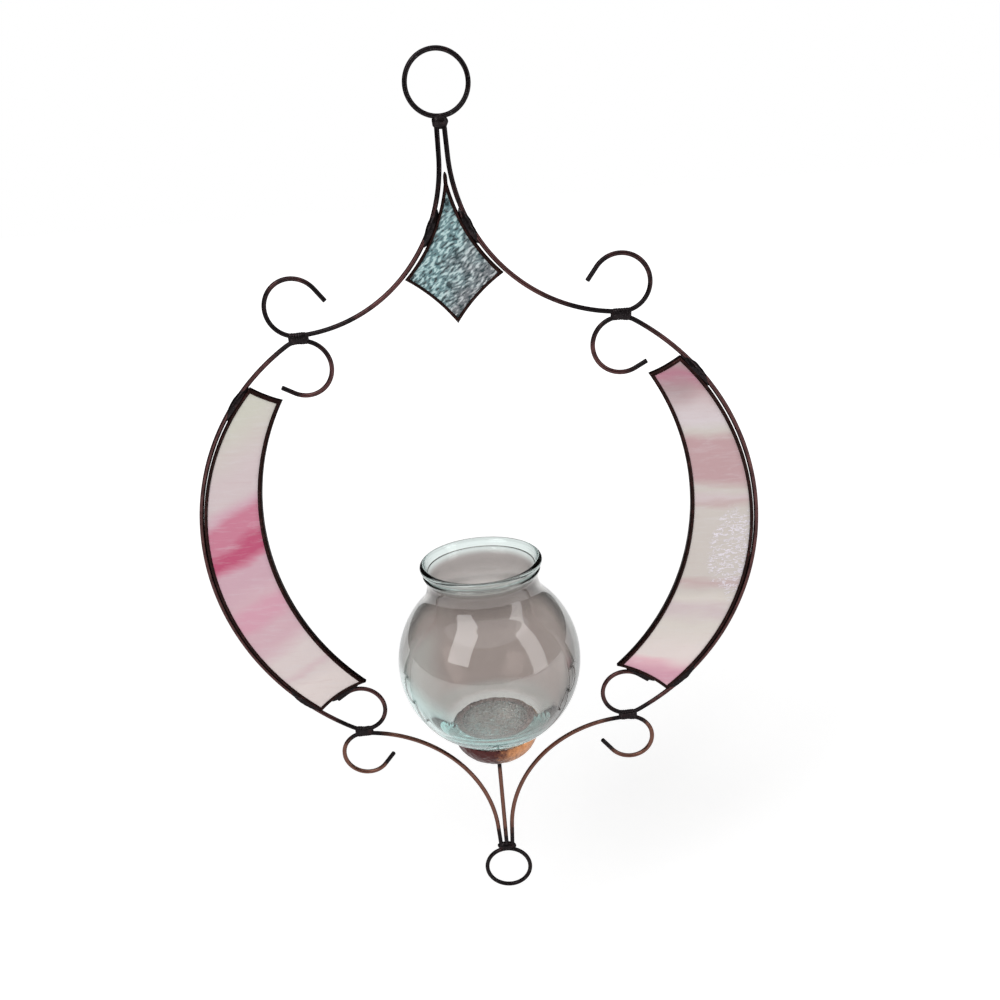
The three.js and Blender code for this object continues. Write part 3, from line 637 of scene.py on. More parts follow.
def foil_shape(pane, panes, lip, side, seed):
    """The foil's channel with its bead of solder, and for each vertex how far up the bead it is"""
    face = panes.thickness / 2 + 0.1 * MM
    crown = panes.crown
    # Inset from the glass's edge, depth, and how far up the bead
    section = [
        (lip, face, 0),
        (lip * 0.93, face + crown * 0.45, 0.3),
        (lip * 0.78, face + crown * 0.85, 0.8),
        (lip * 0.58, face + crown, 1),
        (lip * 0.34, face + crown * 0.85, 0.9),
        (lip * 0.13, face + crown * 0.3, 0.6),
        (-0.07 * lip, face - crown * 0.6, 0.4),
        (-0.09 * lip, face * 0.5, 0.2),
    ]
    back = [(inset, -depth, bare) for inset, depth, bare in reversed(section)]
    channel = [(panes.foil, -face, 0), (panes.foil, face, 0)]
    step = 0.55 * MM
    outside = pane.outline(0, step)
    inside = pane.outline(lip, step)
    rings, bead = [], []
    for near, far in zip(outside, inside):
        ring = []
        spot = standing(near, 0, side)
        lump = rough(spot, 3.2 * MM, seed) + 0.6 * rough(spot, 1.3 * MM, seed)
        for inset, depth, bare in section + back + channel:
            grow = 1 + 0.22 * (lump - 0.2) * (1 if bare > 0.25 else 0)
            raised = math.copysign(face + (abs(depth) - face) * grow, depth) if bare > 0.25 else depth
            place = near + (far - near) * (inset / lip)
            ring.append(standing(place, raised, side))
            bead.append(bare)
        rings.append(ring)
    return skin(rings, True), bead


def glass_shape(pane, panes, side, cells, relief):
    """A pane of glass with relief on both faces. The relief gives 0 to 1 of its depth at a place."""
    across, up = cells
    depth, pattern = relief
    rows = pane.grid(panes.foil + 0.15 * MM, across, up)
    half = panes.thickness / 2
    vertices, heights = [], []
    for face in (-1, 1):
        for row in rows:
            for place in row:
                height = pattern(place, face)
                vertices.append(standing(place, face * (half - depth * (1 - height)), side))
                heights.append(height)
    wide = across + 1
    layer = wide * (up + 1)
    faces = []
    for first in (0, layer):
        for j in range(up):
            for i in range(across):
                corner = first + j * wide + i
                faces.append((corner, corner + 1, corner + wide + 1, corner + wide))
    rim = list(range(wide)) + [j * wide + across for j in range(1, up + 1)]
    rim += [up * wide + i for i in range(across - 1, -1, -1)] + [j * wide for j in range(up - 1, 0, -1)]
    for here, there in zip(rim, rim[1:] + rim[:1]):
        faces.append((here, there, layer + there, layer + here))
    return (vertices, faces), heights


def arc(centre, reach, start, end, step=0.9 * MM):
    """Points (radius, height) of an ellipse's arc, both ends included"""
    count = max(2, math.ceil(abs(end - start) * max(reach) / step))
    ways = [along(start + (end - start) * i / count) for i in range(count + 1)]
    return [Vector((centre[0] + reach[0] * way.x, centre[1] + reach[1] * way.y)) for way in ways]


def straight(start, end, step=0.6 * MM):
    count = max(1, math.ceil((end - start).length / step))
    return [start.lerp(end, i / count) for i in range(count + 1)]


def bezier(points, count):
    a, b, c, d = points
    shares = [i / count for i in range(count + 1)]
    return [a * (1 - t) ** 3 + b * 3 * t * (1 - t) ** 2 + c * 3 * t**2 * (1 - t) + d * t**3 for t in shares]


def turned_shape(profile, sides, dent):
    """A turned body. The profile's points are (radius, height), and dent sinks a place along its normal."""
    rings, vertices, faces = [], [], []
    for i, point in enumerate(profile):
        before = profile[max(i - 1, 0)]
        after = profile[min(i + 1, len(profile) - 1)]
        run = (after - before).normalized()
        out = Vector((run.y, -run.x))
        on_axis = point.x < 0.01 * MM
        ring = []
        for j in range(1 if on_axis else sides):
            a = TURN * j / sides
            place = Vector((point.x * math.cos(a), point.x * math.sin(a), point.y))
            sink = 0 if on_axis else dent(place, i)
            radius = point.x - out.x * sink
            ring.append(len(vertices))
            vertices.append(Vector((radius * math.cos(a), radius * math.sin(a), point.y - out.y * sink)))
        rings.append(ring)
    for here, there in zip(rings, rings[1:]):
        for j in range(sides):
            k = (j + 1) % sides
            near = [here[j % len(here)], here[k % len(here)]]
            far = [there[k % len(there)], there[j % len(there)]]
            faces.append(tuple(dict.fromkeys(near + far)))
    return vertices, faces


# Shading

NUMBER = "NodeSocketFloat"
COLOUR = "NodeSocketColor"


def blend(first, second, share):
    return Vector(first).lerp(Vector(second), share)


class Shading:
    """Adds nodes to a tree and feeds their inputs with values or with other nodes' outputs"""

    def __init__(self, tree):
        self.tree = tree

    def add(self, kind, inputs=None, **settings):
        node = self.tree.nodes.new(kind)
        for key, value in settings.items():
            setattr(node, key, value)
        for key, value in (inputs or {}).items():
            self.feed(node.inputs[key], value)
        return node

    def feed(self, socket, value):
        if isinstance(value, bpy.types.NodeSocket):
            self.tree.links.new(value, socket)
        elif socket.type == "RGBA":
            socket.default_value = (*value[:3], 1)
        else:
            socket.default_value = value

    def math(self, operation, first, second=0.0, clamp=False):
        node = self.add("ShaderNodeMath", {0: first, 1: second}, operation=operation, use_clamp=clamp)
        return node.outputs[0]

    def times(self, first, second):
        return self.math("MULTIPLY", first, second)

    def plus(self, first, second):
        return self.math("ADD", first, second)

    def less(self, first, second):
        return self.math("SUBTRACT", first, second)

    def larger(self, first, second):
        return self.math("MAXIMUM", first, second)

    def mix(self, share, first, second):
        """A colour between two others"""
        return self.add("ShaderNodeMix", {0: share, 6: first, 7: second}, data_type="RGBA").outputs[2]

    def between(self, value, low, high, to_low=0.0, to_high=1.0):
        values = {"Value": value, "From Min": low, "From Max": high, "To Min": to_low, "To Max": to_high}
        return self.add("ShaderNodeMapRange", values, interpolation_type="SMOOTHSTEP").outputs[0]

    def noise(self, place, scale, detail=3.0, roughness=0.55, distortion=0.0):
        values = {"Vector": place, "Scale": scale, "Detail": detail, "Roughness": roughness}
        return self.add("ShaderNodeTexNoise", {**values, "Distortion": distortion}).outputs["Fac"]

    def place(self):
        return self.add("ShaderNodeTexCoord").outputs["Object"]

    def place_parts(self):
        return self.add("ShaderNodeSeparateXYZ", {0: self.place()}).outputs

    def distance(self, place):
        return self.add("ShaderNodeVectorMath", {0: place}, operation="LENGTH").outputs["Value"]

    def turned(self, place, degrees, scale):
        values = {"Vector": place, "Rotation": [math.radians(each) for each in degrees], "Scale": scale}
        return self.add("ShaderNodeMapping", values).outputs[0]

    def oval(self, centre, reach):
        """1 in the middle of an oval on the frame's plane and 0 at its edge. All in millimetres."""
        mapping = self.add("ShaderNodeMapping", {
            "Vector": self.place(),
            "Location": (-centre[0] / reach[0], 0, -centre[1] / reach[1]),
            "Scale": (1 / reach[0] / MM, 0, 1 / reach[1] / MM),
        })
        return self.between(self.distance(mapping.outputs[0]), 1.0, 0.2)

    def mask(self, name):
        return self.add("ShaderNodeAttribute", attribute_name=name).outputs["Fac"]

    def ramp(self, share, stops):
        node = self.add("ShaderNodeValToRGB", {"Fac": share})
        ramp = node.color_ramp
        while len(ramp.elements) < len(stops):
            ramp.elements.new(0.5)
        for element, (where, stop) in zip(ramp.elements, stops):
            element.position = where
            element.color = (*stop[:3], 1)
        return node.outputs[0]

    def effect(self, group, inputs):
        """The outputs of a shared effect"""
        return self.add("ShaderNodeGroup", inputs, node_tree=group).outputs


def effect_group(name, inputs, outputs, build):
    """A shader node group with named inputs and outputs, built once"""
    if name in bpy.data.node_groups:
        return bpy.data.node_groups[name]
    group = bpy.data.node_groups.new(name, "ShaderNodeTree")
    for label, (kind, value) in inputs.items():
        socket = group.interface.new_socket(label, in_out="INPUT", socket_type=kind)
        if value is not None:
            socket.default_value = value
    for label, kind in outputs.items():
        group.interface.new_socket(label, in_out="OUTPUT", socket_type=kind)
    shading = Shading(group)
    given = shading.add("NodeGroupInput").outputs
    shading.add("NodeGroupOutput", build(shading, given))
    return group


def aged_metal():
    """Bare metal, patina and dust in turn, by a mask and by grain"""

    def build(s, given):
        place = s.place()
        coarse = s.noise(place, given["Grain"], 5.0, 0.6)
        fine = s.noise(place, s.times(given["Grain"], 5.3), 4.0, 0.65)
        wear = s.plus(given["Wear"], s.times(s.less(coarse, 0.5), 1.3))
        bare = s.between(wear, 0.15, 0.85)
        body = s.mix(bare, given["Patina"], given["Metal"])
        dust = s.times(s.between(fine, 0.56, 0.72), given["Dust Amount"])
        roughness = s.plus(s.between(coarse, 0.3, 0.7, 0.4, 0.2), s.times(dust, 0.35))
        height = s.plus(coarse, s.times(fine, 0.35))
        return {"Colour": s.mix(dust, body, given["Dust"]), "Roughness": roughness, "Height": height}

    inputs = {
        "Wear": (NUMBER, 0.5),
        "Metal": (COLOUR, None),
        "Patina": (COLOUR, None),
        "Dust": (COLOUR, None),
        "Dust Amount": (NUMBER, 0.3),
        "Grain": (NUMBER, 300.0),
    }
    outputs = {"Colour": COLOUR, "Roughness": NUMBER, "Height": NUMBER}
    return effect_group("Aged Metal", inputs, outputs, build)


def stipple():
    """Small round dimples packed side by side"""

    def build(s, given):
        cells = s.add("ShaderNodeTexVoronoi", {"Vector": s.place(), "Scale": given["Scale"]})
        dimple = s.between(cells.outputs["Distance"], 0.05, 0.6)
        return {"Height": dimple, "Mask": s.between(cells.outputs["Distance"], 0.35, 0.75)}

    inputs = {"Scale": (NUMBER, 500.0)}
    outputs = {"Height": NUMBER, "Mask": NUMBER}
    return effect_group("Stipple", inputs, outputs, build)


def wisps():
    """Streaks drawn through poured glass: a band coordinate that rises with the height, and white wisps"""

    def build(s, given):
        place = s.place()
        parts = s.place_parts()
        tilted = s.less(parts["Z"], s.times(parts["X"], given["Slope"]))
        drift = s.turned(place, (0, -22, 0), (0.45, 0.3, 1.25))
        slow = s.less(s.noise(drift, 42.0, 3.0, 0.5, 0.6), 0.5)
        quick = s.less(s.noise(drift, 170.0, 4.0, 0.55, 0.8), 0.5)
        bend = s.plus(s.times(slow, 0.034), s.times(quick, 0.008))
        moved = s.plus(tilted, s.times(bend, given["Drift"]))
        values = {"Value": moved, "From Min": given["Low"], "From Max": given["High"]}
        across = s.turned(place, (0, -7, 0), (0.3, 0.3, 2.4))
        strands = s.noise(s.turned(place, (0, -28, 0), (0.5, 0.5, 2.3)), 120.0, 5.0, 0.62, 1.2)
        return {
            "Band": s.add("ShaderNodeMapRange", values).outputs[0],
            "Wisp": s.between(strands, 0.52, 0.72),
            "Grain": s.noise(across, 260.0, 4.0, 0.62, 0.4),
            "Relief": s.noise(drift, 220.0, 3.0, 0.5),
        }

    inputs = {
        "Slope": (NUMBER, 0.0),
        "Low": (NUMBER, 0.0),
        "High": (NUMBER, 1.0),
        "Drift": (NUMBER, 1.0),
    }
    outputs = {name: NUMBER for name in ("Band", "Wisp", "Grain", "Relief")}
    return effect_group("Wisps", inputs, outputs, build)


def new_finish(name, build, plain=None):
    """A material around one Principled BSDF with its plain inputs, made once"""
    if name in bpy.data.materials:
        return bpy.data.materials[name]
    material = bpy.data.materials.new(name)
    material.use_nodes = True
    tree = material.node_tree
    tree.nodes.clear()
    shading = Shading(tree)
    surface = shading.add("ShaderNodeBsdfPrincipled", plain)
    output = shading.add("ShaderNodeOutputMaterial", {"Surface": surface.outputs[0]})
    build(shading, surface, output)
    return material


def bumped(s, surface, height, distance, strength=0.6):
    bump = s.add("ShaderNodeBump", {"Height": height, "Distance": distance, "Strength": strength})
    s.feed(surface.inputs["Normal"], bump.outputs[0])


def metal_finish(name, metal, patina, dust_amount, wear, grain, metallic=0.85, bump=0.1 * MM, mask=None):
    """Aged metal under bright dust. The wear is a number, or a mask of the mesh scaled by it."""
    c = bpy.context.scene.vase_colours

    def build(s, surface, _):
        aged = s.effect(aged_metal(), {
            "Metal": metal,
            "Patina": patina,
            "Dust": c.tin,
            "Dust Amount": dust_amount,
            "Grain": grain,
            "Wear": s.times(s.mask(mask), wear) if mask else wear,
        })
        s.feed(surface.inputs["Base Color"], aged["Colour"])
        s.feed(surface.inputs["Roughness"], aged["Roughness"])
        bumped(s, surface, aged["Height"], bump)

    plain = {"Metallic": metallic, "Specular IOR Level": 0.2, "Specular Tint": c.edge_tint}
    return new_finish(name, build, plain)


def wire_finish(name, metal, wear):
    c = bpy.context.scene.vase_colours
    return metal_finish(name, metal, c.patina, 0.06, wear, 260.0, mask="bareness")


def solder_finish():
    c = bpy.context.scene.vase_colours
    return metal_finish("Solder", c.red_brown, c.patina, 0.16, 0.15, 420.0, 0.75, 0.12 * MM)


def foil_finish():
    c = bpy.context.scene.vase_colours
    return metal_finish("Foil", c.red_brown, c.foil, 0.05, 0.25, 380.0, 0.75, 0.12 * MM, "bead")


def copper_finish():
    c = bpy.context.scene.vase_colours

    def build(s, surface, _):
        marks = s.effect(stipple(), {"Scale": 900.0})
        # Painted sparkle: inside, the pale metal is brighter in a net of spots, seen through the bowl's
        # stippled foot
        net = s.between(s.plus(marks["Mask"], s.noise(s.place(), 600.0, 3.0)), 0.75, 1.05)
        # Painted light: through the wear mask the outside runs from dark on the left to bright copper on the
        # right, as if lit from the right
        rubbed = s.between(s.place_parts()["X"], -14 * MM, 20 * MM, -0.2, 0.9)
        inside = s.mask("inside")
        aged = s.effect(aged_metal(), {
            "Metal": s.mix(inside, c.bright_copper, s.mix(net, Vector(c.painted_sparkle_lining) * 0.62, c.painted_sparkle_lining)),
            "Patina": s.mix(inside, c.red_brown, Vector(c.painted_sparkle_lining) * 0.55),
            "Dust": c.patina,
            "Dust Amount": s.between(inside, 0, 1, 0.8, 0.1),
            "Grain": s.between(inside, 0, 1, 260, 700),
            "Wear": s.plus(rubbed, s.times(inside, 0.6)),
        })
        s.feed(surface.inputs["Base Color"], aged["Colour"])
        s.feed(surface.inputs["Roughness"], aged["Roughness"])
        bumped(s, surface, s.plus(marks["Height"], aged["Height"]), 0.12 * MM)

    return new_finish("Hammered Copper", build, {"Metallic": 1.0})


def kite_finish():
    c = bpy.context.scene.vase_colours

    def build(s, surface, _):
        parts = s.place_parts()
        across = s.less(s.times(parts["X"], 0.6), s.times(parts["Z"], 0.5))
        cloudy = s.less(s.noise(s.place(), 70.0, 3.0, 0.5), 0.5)
        share = s.between(s.plus(across, s.times(cloudy, 0.03)), 36 * MM, 50 * MM)
        # Colour by the ripples' height: painted shade in the hollows and painted highlights on the crests,
        # on the teal side and on the grey side
        relief = s.mask("relief")
        pale = blend(c.smoke, c.blush, 0.45)
        teals = [(0.12, c.ripple_valley_shade), (0.32, c.teal), (0.56, c.teal), (0.70, c.aqua), (0.92, c.glint)]
        greys = [(0.12, c.ripple_valley_shade), (0.34, c.smoke), (0.60, c.smoke), (0.78, pale), (1.00, c.cloud_and_crest_glint)]
        body = s.mix(s.times(share, 0.7), s.ramp(relief, teals), s.ramp(relief, greys))
        s.feed(surface.inputs["Base Color"], body)
        fine = s.noise(s.turned(s.place(), (0, -36, 0), (0.5, 1, 1.6)), 900.0)
        bumped(s, surface, fine, 0.12 * MM)

    plain = {"Roughness": 0.1, "Transmission Weight": 0.25, "IOR": 1.5}
    return new_finish("Rippled Teal Glass", build, plain)


def opal_bands(side):
    """Colours up a crescent, by the share of its height. Each crescent is cut from its own sheet."""
    c = bpy.context.scene.vase_colours
    deep = blend(c.rose, c.magenta, 0.55)
    grey = blend(c.blush, c.cloud_and_crest_glint, 0.35)
    warm = blend(c.ivory, c.blush, 0.45)
    if side == "left":
        pale = blend(c.rose, c.blush, 0.45)
        pearly = blend(c.pearl, c.blush, 0.4)
        streak = blend(pearly, pale, 0.45)
        return [
            (0.00, c.pearl), (0.18, c.pearl), (0.21, pearly), (0.225, streak), (0.245, pearly),
            (0.29, pearly), (0.34, pale), (0.385, pale), (0.41, c.rose), (0.44, c.rose),
            (0.47, pale), (0.52, c.orchid), (0.56, c.orchid), (0.575, deep), (0.59, c.magenta),
            (0.615, c.magenta), (0.64, deep), (0.69, deep), (0.715, c.orchid), (0.745, c.blush),
            (0.79, c.blush), (0.86, warm), (0.91, c.ivory), (1.00, c.ivory),
        ]
    faint = blend(warm, c.dusk, 0.6)
    cream = blend(c.ivory, c.pearl, 0.5)
    return [
        (0.00, c.shell), (0.025, c.rose), (0.05, c.rose), (0.085, c.shell), (0.11, c.pearl),
        (0.22, cream), (0.255, c.blush), (0.285, cream), (0.31, warm), (0.335, faint),
        (0.36, warm), (0.57, warm), (0.59, faint), (0.605, c.blush), (0.63, warm),
        (0.67, c.dusk), (0.775, c.dusk), (0.81, warm), (0.84, grey), (0.88, c.blush),
        (0.92, c.dusk), (0.955, deep), (0.975, c.dusk), (1.00, grey),
    ]


def opal_finish(side):
    """Opal glass with drawn streaks of cream, rose and magenta, and a patch of scratched white flecks"""
    c = bpy.context.scene.vase_colours

    def build(s, surface, _):
        slope, low, high = (0.5, -259 * MM, -73 * MM) if side == "left" else (-0.1, -273.5 * MM, -117.5 * MM)
        streaks = s.effect(wisps(), {"Slope": slope, "Low": low, "High": high, "Drift": 0.4})
        body = s.ramp(streaks["Band"], opal_bands(side))
        body = s.mix(s.times(streaks["Wisp"], 0.12), body, c.cloud_and_crest_glint)
        body = s.mix(s.between(streaks["Grain"], 0.5, 0.75, 0.0, 0.18), body, c.cloud_and_crest_glint)
        body = s.mix(s.between(streaks["Grain"], 0.46, 0.25, 0.0, 0.16), body, c.dusk)
        height = streaks["Relief"]
        if side == "right":
            body = s.mix(s.times(s.oval((89, -136), (16, 16)), 0.35), body, c.smoke)
            body = s.mix(s.times(s.oval((91, -267), (15, 8)), 0.8), body, c.pearl)
            scratched = s.larger(s.oval((115, -217), (24, 38)), s.oval((79, -146), (11, 12)))
            strands = s.noise(s.turned(s.place(), (0, 12, 0), (0.6, 1, 1.5)), 430.0, 3.0, 0.65)
            thin = s.between(s.math("ABSOLUTE", s.less(strands, 0.5)), 0.05, 0.01)
            broken = s.between(s.plus(s.noise(s.place(), 330.0, 3.0, 0.6), scratched), 0.95, 1.25)
            flecks = s.times(thin, broken)
            body = s.mix(s.times(flecks, 0.9), body, (0.9, 0.84, 0.93))
            height = s.plus(height, flecks)
        s.feed(surface.inputs["Base Color"], body)
        bumped(s, surface, height, 0.3 * MM, 0.5)

    plain = {"Roughness": 0.16, "Transmission Weight": 0.08, "IOR": 1.5}
    return new_finish(f"Opal Glass {side.title()}", build, plain)


def bowl_finish():
    """Clear glass in the foot and floor, a painted grey of room shade in the wall that darkens towards the
    neck, painted shade where the wall is seen edge on, and aqua low on the wall and on the lip
    """
    c = bpy.context.scene.vase_colours

    def build(s, surface, output):
        parts = s.place_parts()
        height = s.less(parts["Z"], BOWL_BOX[0].z)
        facing = s.add("ShaderNodeLayerWeight", {"Blend": 0.5}).outputs["Facing"]
        off_axis = s.distance(s.turned(s.place(), (0, 0, 0), (1, 1, 0)))
        beside_foot = s.between(off_axis, 19 * MM, 27 * MM)
        wall = s.larger(beside_foot, s.between(height, 9.4 * MM, 17.4 * MM))
        slanted = s.plus(height, s.times(parts["X"], 0.5))
        thick = s.times(s.between(slanted, 29.4 * MM, 15.4 * MM), wall)
        # Painted room shade in the wall, darker towards the neck, and half of it mixed into the lip
        ball = s.mix(s.between(height, 63.4 * MM, 77.4 * MM), c.painted_room_shade, Vector(c.painted_room_shade) * 0.6)
        ball = s.mix(s.between(height, 79.4 * MM, 84.4 * MM), ball, blend(c.tinge, c.painted_room_shade, 0.5))
        body = s.mix(wall, c.clear, ball)
        body = s.mix(s.times(thick, s.between(facing, 0.12, 0.38)), body, c.tinge)
        # Painted shade where the wall is seen edge on: none at the foot, less where the wall is thick low on
        # the left, and less towards the neck and lip
        rim = s.times(s.between(facing, 0.4, 0.8), s.math("SUBTRACT", wall, thick, clamp=True))
        rim = s.times(rim, s.between(height, 67.4 * MM, 77.4 * MM, 1.0, 0.25))
        s.feed(surface.inputs["Base Color"], s.mix(rim, body, c.rim_shade))
        smears = s.noise(s.place(), 90.0, 4.0, 0.6)
        cords = s.noise(s.turned(s.place(), (20, 14, 0), (1, 1, 0.3)), 75.0, 2.0)
        frost = s.times(s.effect(stipple(), {"Scale": 900.0})["Height"], s.mask("stippled"))
        roughness = s.plus(s.between(smears, 0.6, 0.85, 0.0, 0.04), s.times(frost, 0.08))
        s.feed(surface.inputs["Roughness"], roughness)
        bumped(s, surface, s.plus(s.times(cords, 0.4), s.times(frost, 6.0)), 0.25 * MM, 0.5)
        tint = s.add("ShaderNodeVolumeAbsorption", {"Color": c.sea, "Density": 14.0})
        s.feed(output.inputs["Volume"], tint.outputs[0])

    return new_finish("Clear Sea Glass", build, {"Transmission Weight": 1.0, "IOR": 1.5})


# Operators


def wires_now():
    return Wires(bpy.context.scene.vase_wires)


def add_wires(name, stations, dark_places, finish):
    """The right and the left one of a pair of wires, which are each other turned about the centre line"""
    masks = {"bareness": bareness(stations, dark_places)}
    radius = bpy.context.scene.vase_wires.diameter / 2
    for label, side in SIDES:
        node = f"{name}_{label}"
        shape = wire_shape(stations, radius, side, side * 2.3)
        make_piece(f"{node}_drawn", shape, finish, [node], masks=masks, sharp=50)


def add_solder(node, ending, shape):
    make_piece(f"{node}_{ending}", shape, solder_finish(), [node], sharp=60)


class VASE_OT_rings(Operator):
    """Make the hanging ring and the bottom ring"""

    bl_idname = "vase.rings"
    bl_label = "Rings"

    def execute(self, context):
        c = context.scene.vase_colours
        radius = context.scene.vase_wires.diameter / 2
        finish = metal_finish("Black Wire", c.red_brown, c.patina, 0.22, 0.12, 300.0)
        for node, (low, high) in (("hang_ring", HANG_RING_BOX), ("bottom_ring", BOTTOM_RING_BOX)):
            bend = (high.x - low.x) / 2 - radius
            start = Vector((0, (high.z + low.z) / 2 - bend))
            stations = walk(start, 0, [(bend, TURN)])[:-1]
            shape = wire_shape(stations, radius, closed=True, seed=bend / MM)
            make_piece(f"{node}_drawn", shape, finish, [node], sharp=50)
        return {"FINISHED"}


class VASE_OT_top_wires(Operator):
    """Make the two top wires with their scrolls"""

    bl_idname = "vase.top_wires"
    bl_label = "Top wires"

    def execute(self, context):
        wires = wires_now()
        c = context.scene.vase_colours
        metal = blend(c.red_brown, c.tin, 0.04)
        dark = [(wires.top[0][0], 36 * MM), (wires.upper_joint, 29 * MM), (wires.top[-1][0], 16 * MM)]
        add_wires("top_wire", wires.top, dark, wire_finish("Top Wire", metal, 0.8))
        return {"FINISHED"}


class VASE_OT_side_wires(Operator):
    """Make the two side wires with their long flanks"""

    bl_idname = "vase.side_wires"
    bl_label = "Side wires"

    def execute(self, context):
        wires = wires_now()
        c = context.scene.vase_colours
        metal = blend(c.red_brown, c.tin, 0.04)
        dark = [
            (wires.side[0][0], 8 * MM), (wires.upper_joint, 14 * MM),
            (wires.side[-1][0], 8 * MM), (wires.lower_joint, 14 * MM),
        ]
        add_wires("side_wire", wires.side, dark, wire_finish("Side Wire", metal, 0.7))
        return {"FINISHED"}


class VASE_OT_bottom_wires(Operator):
    """Make the two bottom wires and the stem with its fillet of solder"""

    bl_idname = "vase.bottom_wires"
    bl_label = "Bottom wires and stem"

    def execute(self, context):
        wires = wires_now()
        c = context.scene.vase_colours
        metal = blend(blend(c.red_brown, c.bright_copper, 0.12), c.tin, 0.05)
        finish = wire_finish("Bottom Wire", metal, 0.95)
        dark = [(wires.bottom[0][0], 14 * MM), (wires.lower_joint, 12 * MM), (wires.bottom[-1][0], 8 * MM)]
        add_wires("bottom_wire", wires.bottom, dark, finish)

        foot = Vector((0, STEM_BOX[0].z))
        stations = walk(foot, QUARTER, [(STEM_BOX[1].z - foot.y, 0)])
        shape = wire_shape(stations, wires.sizes.diameter / 2, seed=5)
        masks = {"bareness": bareness(stations, [(foot, 12 * MM), (stations[-1][0], 9 * MM)])}
        make_piece("stem_drawn", shape, finish, ["stem_wire"], masks=masks, sharp=50)

        low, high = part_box("stem_solder")
        bore = wires.sizes.diameter / 2
        neck = Vector((bore * 1.02, low.z))
        base = Vector((high.x, high.z - 0.35 * MM))
        handles = [neck + Vector((0.3, 1.6)) * MM, base + Vector((-1.3, -0.5)) * MM]
        profile = bezier([neck, *handles, base], 14)
        profile += [Vector((high.x * 0.96, high.z)), Vector((bore, high.z))]
        fillet = turned_shape(profile, 40, lambda place, _: 0.1 * MM * (1 + rough(place, 1.5 * MM, 4)))
        make_piece("stem_solder_lump", fillet, solder_finish(), ["stem_solder"])
        return {"FINISHED"}


class VASE_OT_bindings(Operator):
    """Make the wound and soldered bindings at the four joints"""

    bl_idname = "vase.bindings"
    bl_label = "Bindings"

    def execute(self, context):
        wires = wires_now()
        w = wires.sizes
        upper = {
            "joint": wires.upper_joint,
            "tilt": w.upper_tilt,
            "above": (w.top_bow, w.scroll_root),
            "below": (w.upper_curl, w.upper_curl),
        }
        lower = {
            "joint": wires.lower_joint,
            "tilt": w.lower_tilt,
            "above": (w.lower_curl, w.lower_curl),
            "below": (wires.bottom_bow, w.foot_curl),
        }
        for name, bends in (("upper_binding", upper), ("lower_binding", lower)):
            for label, side in SIDES:
                add_solder(f"{name}_{label}", "wound", binding_shape(wires, side=side, **bends))
        return {"FINISHED"}


class VASE_OT_ring_solder(Operator):
    """Make the lumps of solder that hold the wires to the two rings"""

    bl_idname = "vase.ring_solder"
    bl_label = "Ring solder"

    def execute(self, context):
        for node in ("ring_solder_top", "ring_solder_bottom"):
            low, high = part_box(node)
            half = (high - low) / 2
            shape = blob_shape((low.z + high.z) / 2, half.x, half.y, half.z, half.x / MM)
            add_solder(node, "lump", shape)
        return {"FINISHED"}


def ripple(place, face):
    """Short slanted ripples of rolled glass, from 0 to 1"""
    slant = math.radians(36)
    run = place.dot(along(slant))
    across = place.dot(along(slant + QUARTER))
    warp = 0.7 * MM * noise.noise(Vector((run / (4 * MM), across / (4 * MM), 9.1)))
    first = noise.noise(Vector((run / (2.3 * MM), (across + warp) / (0.80 * MM), 4.2 * face)))
    second = noise.noise(Vector((run / (1.2 * MM), (across - warp) / (0.50 * MM), 7.7 * face)))
    height = 0.5 + 0.95 * first + 0.4 * second
    return min(1.0, max(0.0, height))


def wave(place, face):
    """The slow waviness of hand-rolled sheet, from 0 to 1"""
    return 0.5 + 0.4 * noise.noise(Vector((place.x / (7 * MM), place.y / (9 * MM), 2.6 * face)))


class VASE_OT_kite(Operator):
    """Make the kite pane with its foil and solder"""

    bl_idname = "vase.kite"
    bl_label = "Kite pane"

    def execute(self, context):
        wires = wires_now()
        panes = context.scene.vase_panes
        pane = kite_pane(wires, panes)
        glass, relief = glass_shape(pane, panes, 1, KITE_CELLS, (panes.ripple, ripple))
        masks = {"relief": relief}
        make_piece("kite_pane", glass, kite_finish(), ["kite_glass"], masks=masks, sharp=60)
        channel, bead = foil_shape(pane, panes, panes.kite_lip, 1, 1.7)
        tip = blob_shape(pane.corners[0].y - 2.6 * MM, 0.85 * MM, 1.9 * MM, 3.3 * MM, 6)
        foil = join([channel, tip])
        masks = {"bead": bead + [0.3] * len(tip[0])}
        make_piece("kite_foil_bead", foil, foil_finish(), ["kite_foil"], masks=masks, sharp=60)
        w = wires.sizes
        radius = w.top_bow + w.diameter / 2 + panes.kite_gap / 2 - SEAM_LAP
        start = math.pi + math.radians(18.5)
        for label, side in SIDES:
            seam = seam_shape(wires.top_bow_centre, radius, start, 16 * MM, SEAM_HALF_WIDTH, side, side)
            add_solder(f"kite_solder_{label}", "run", seam)
        return {"FINISHED"}


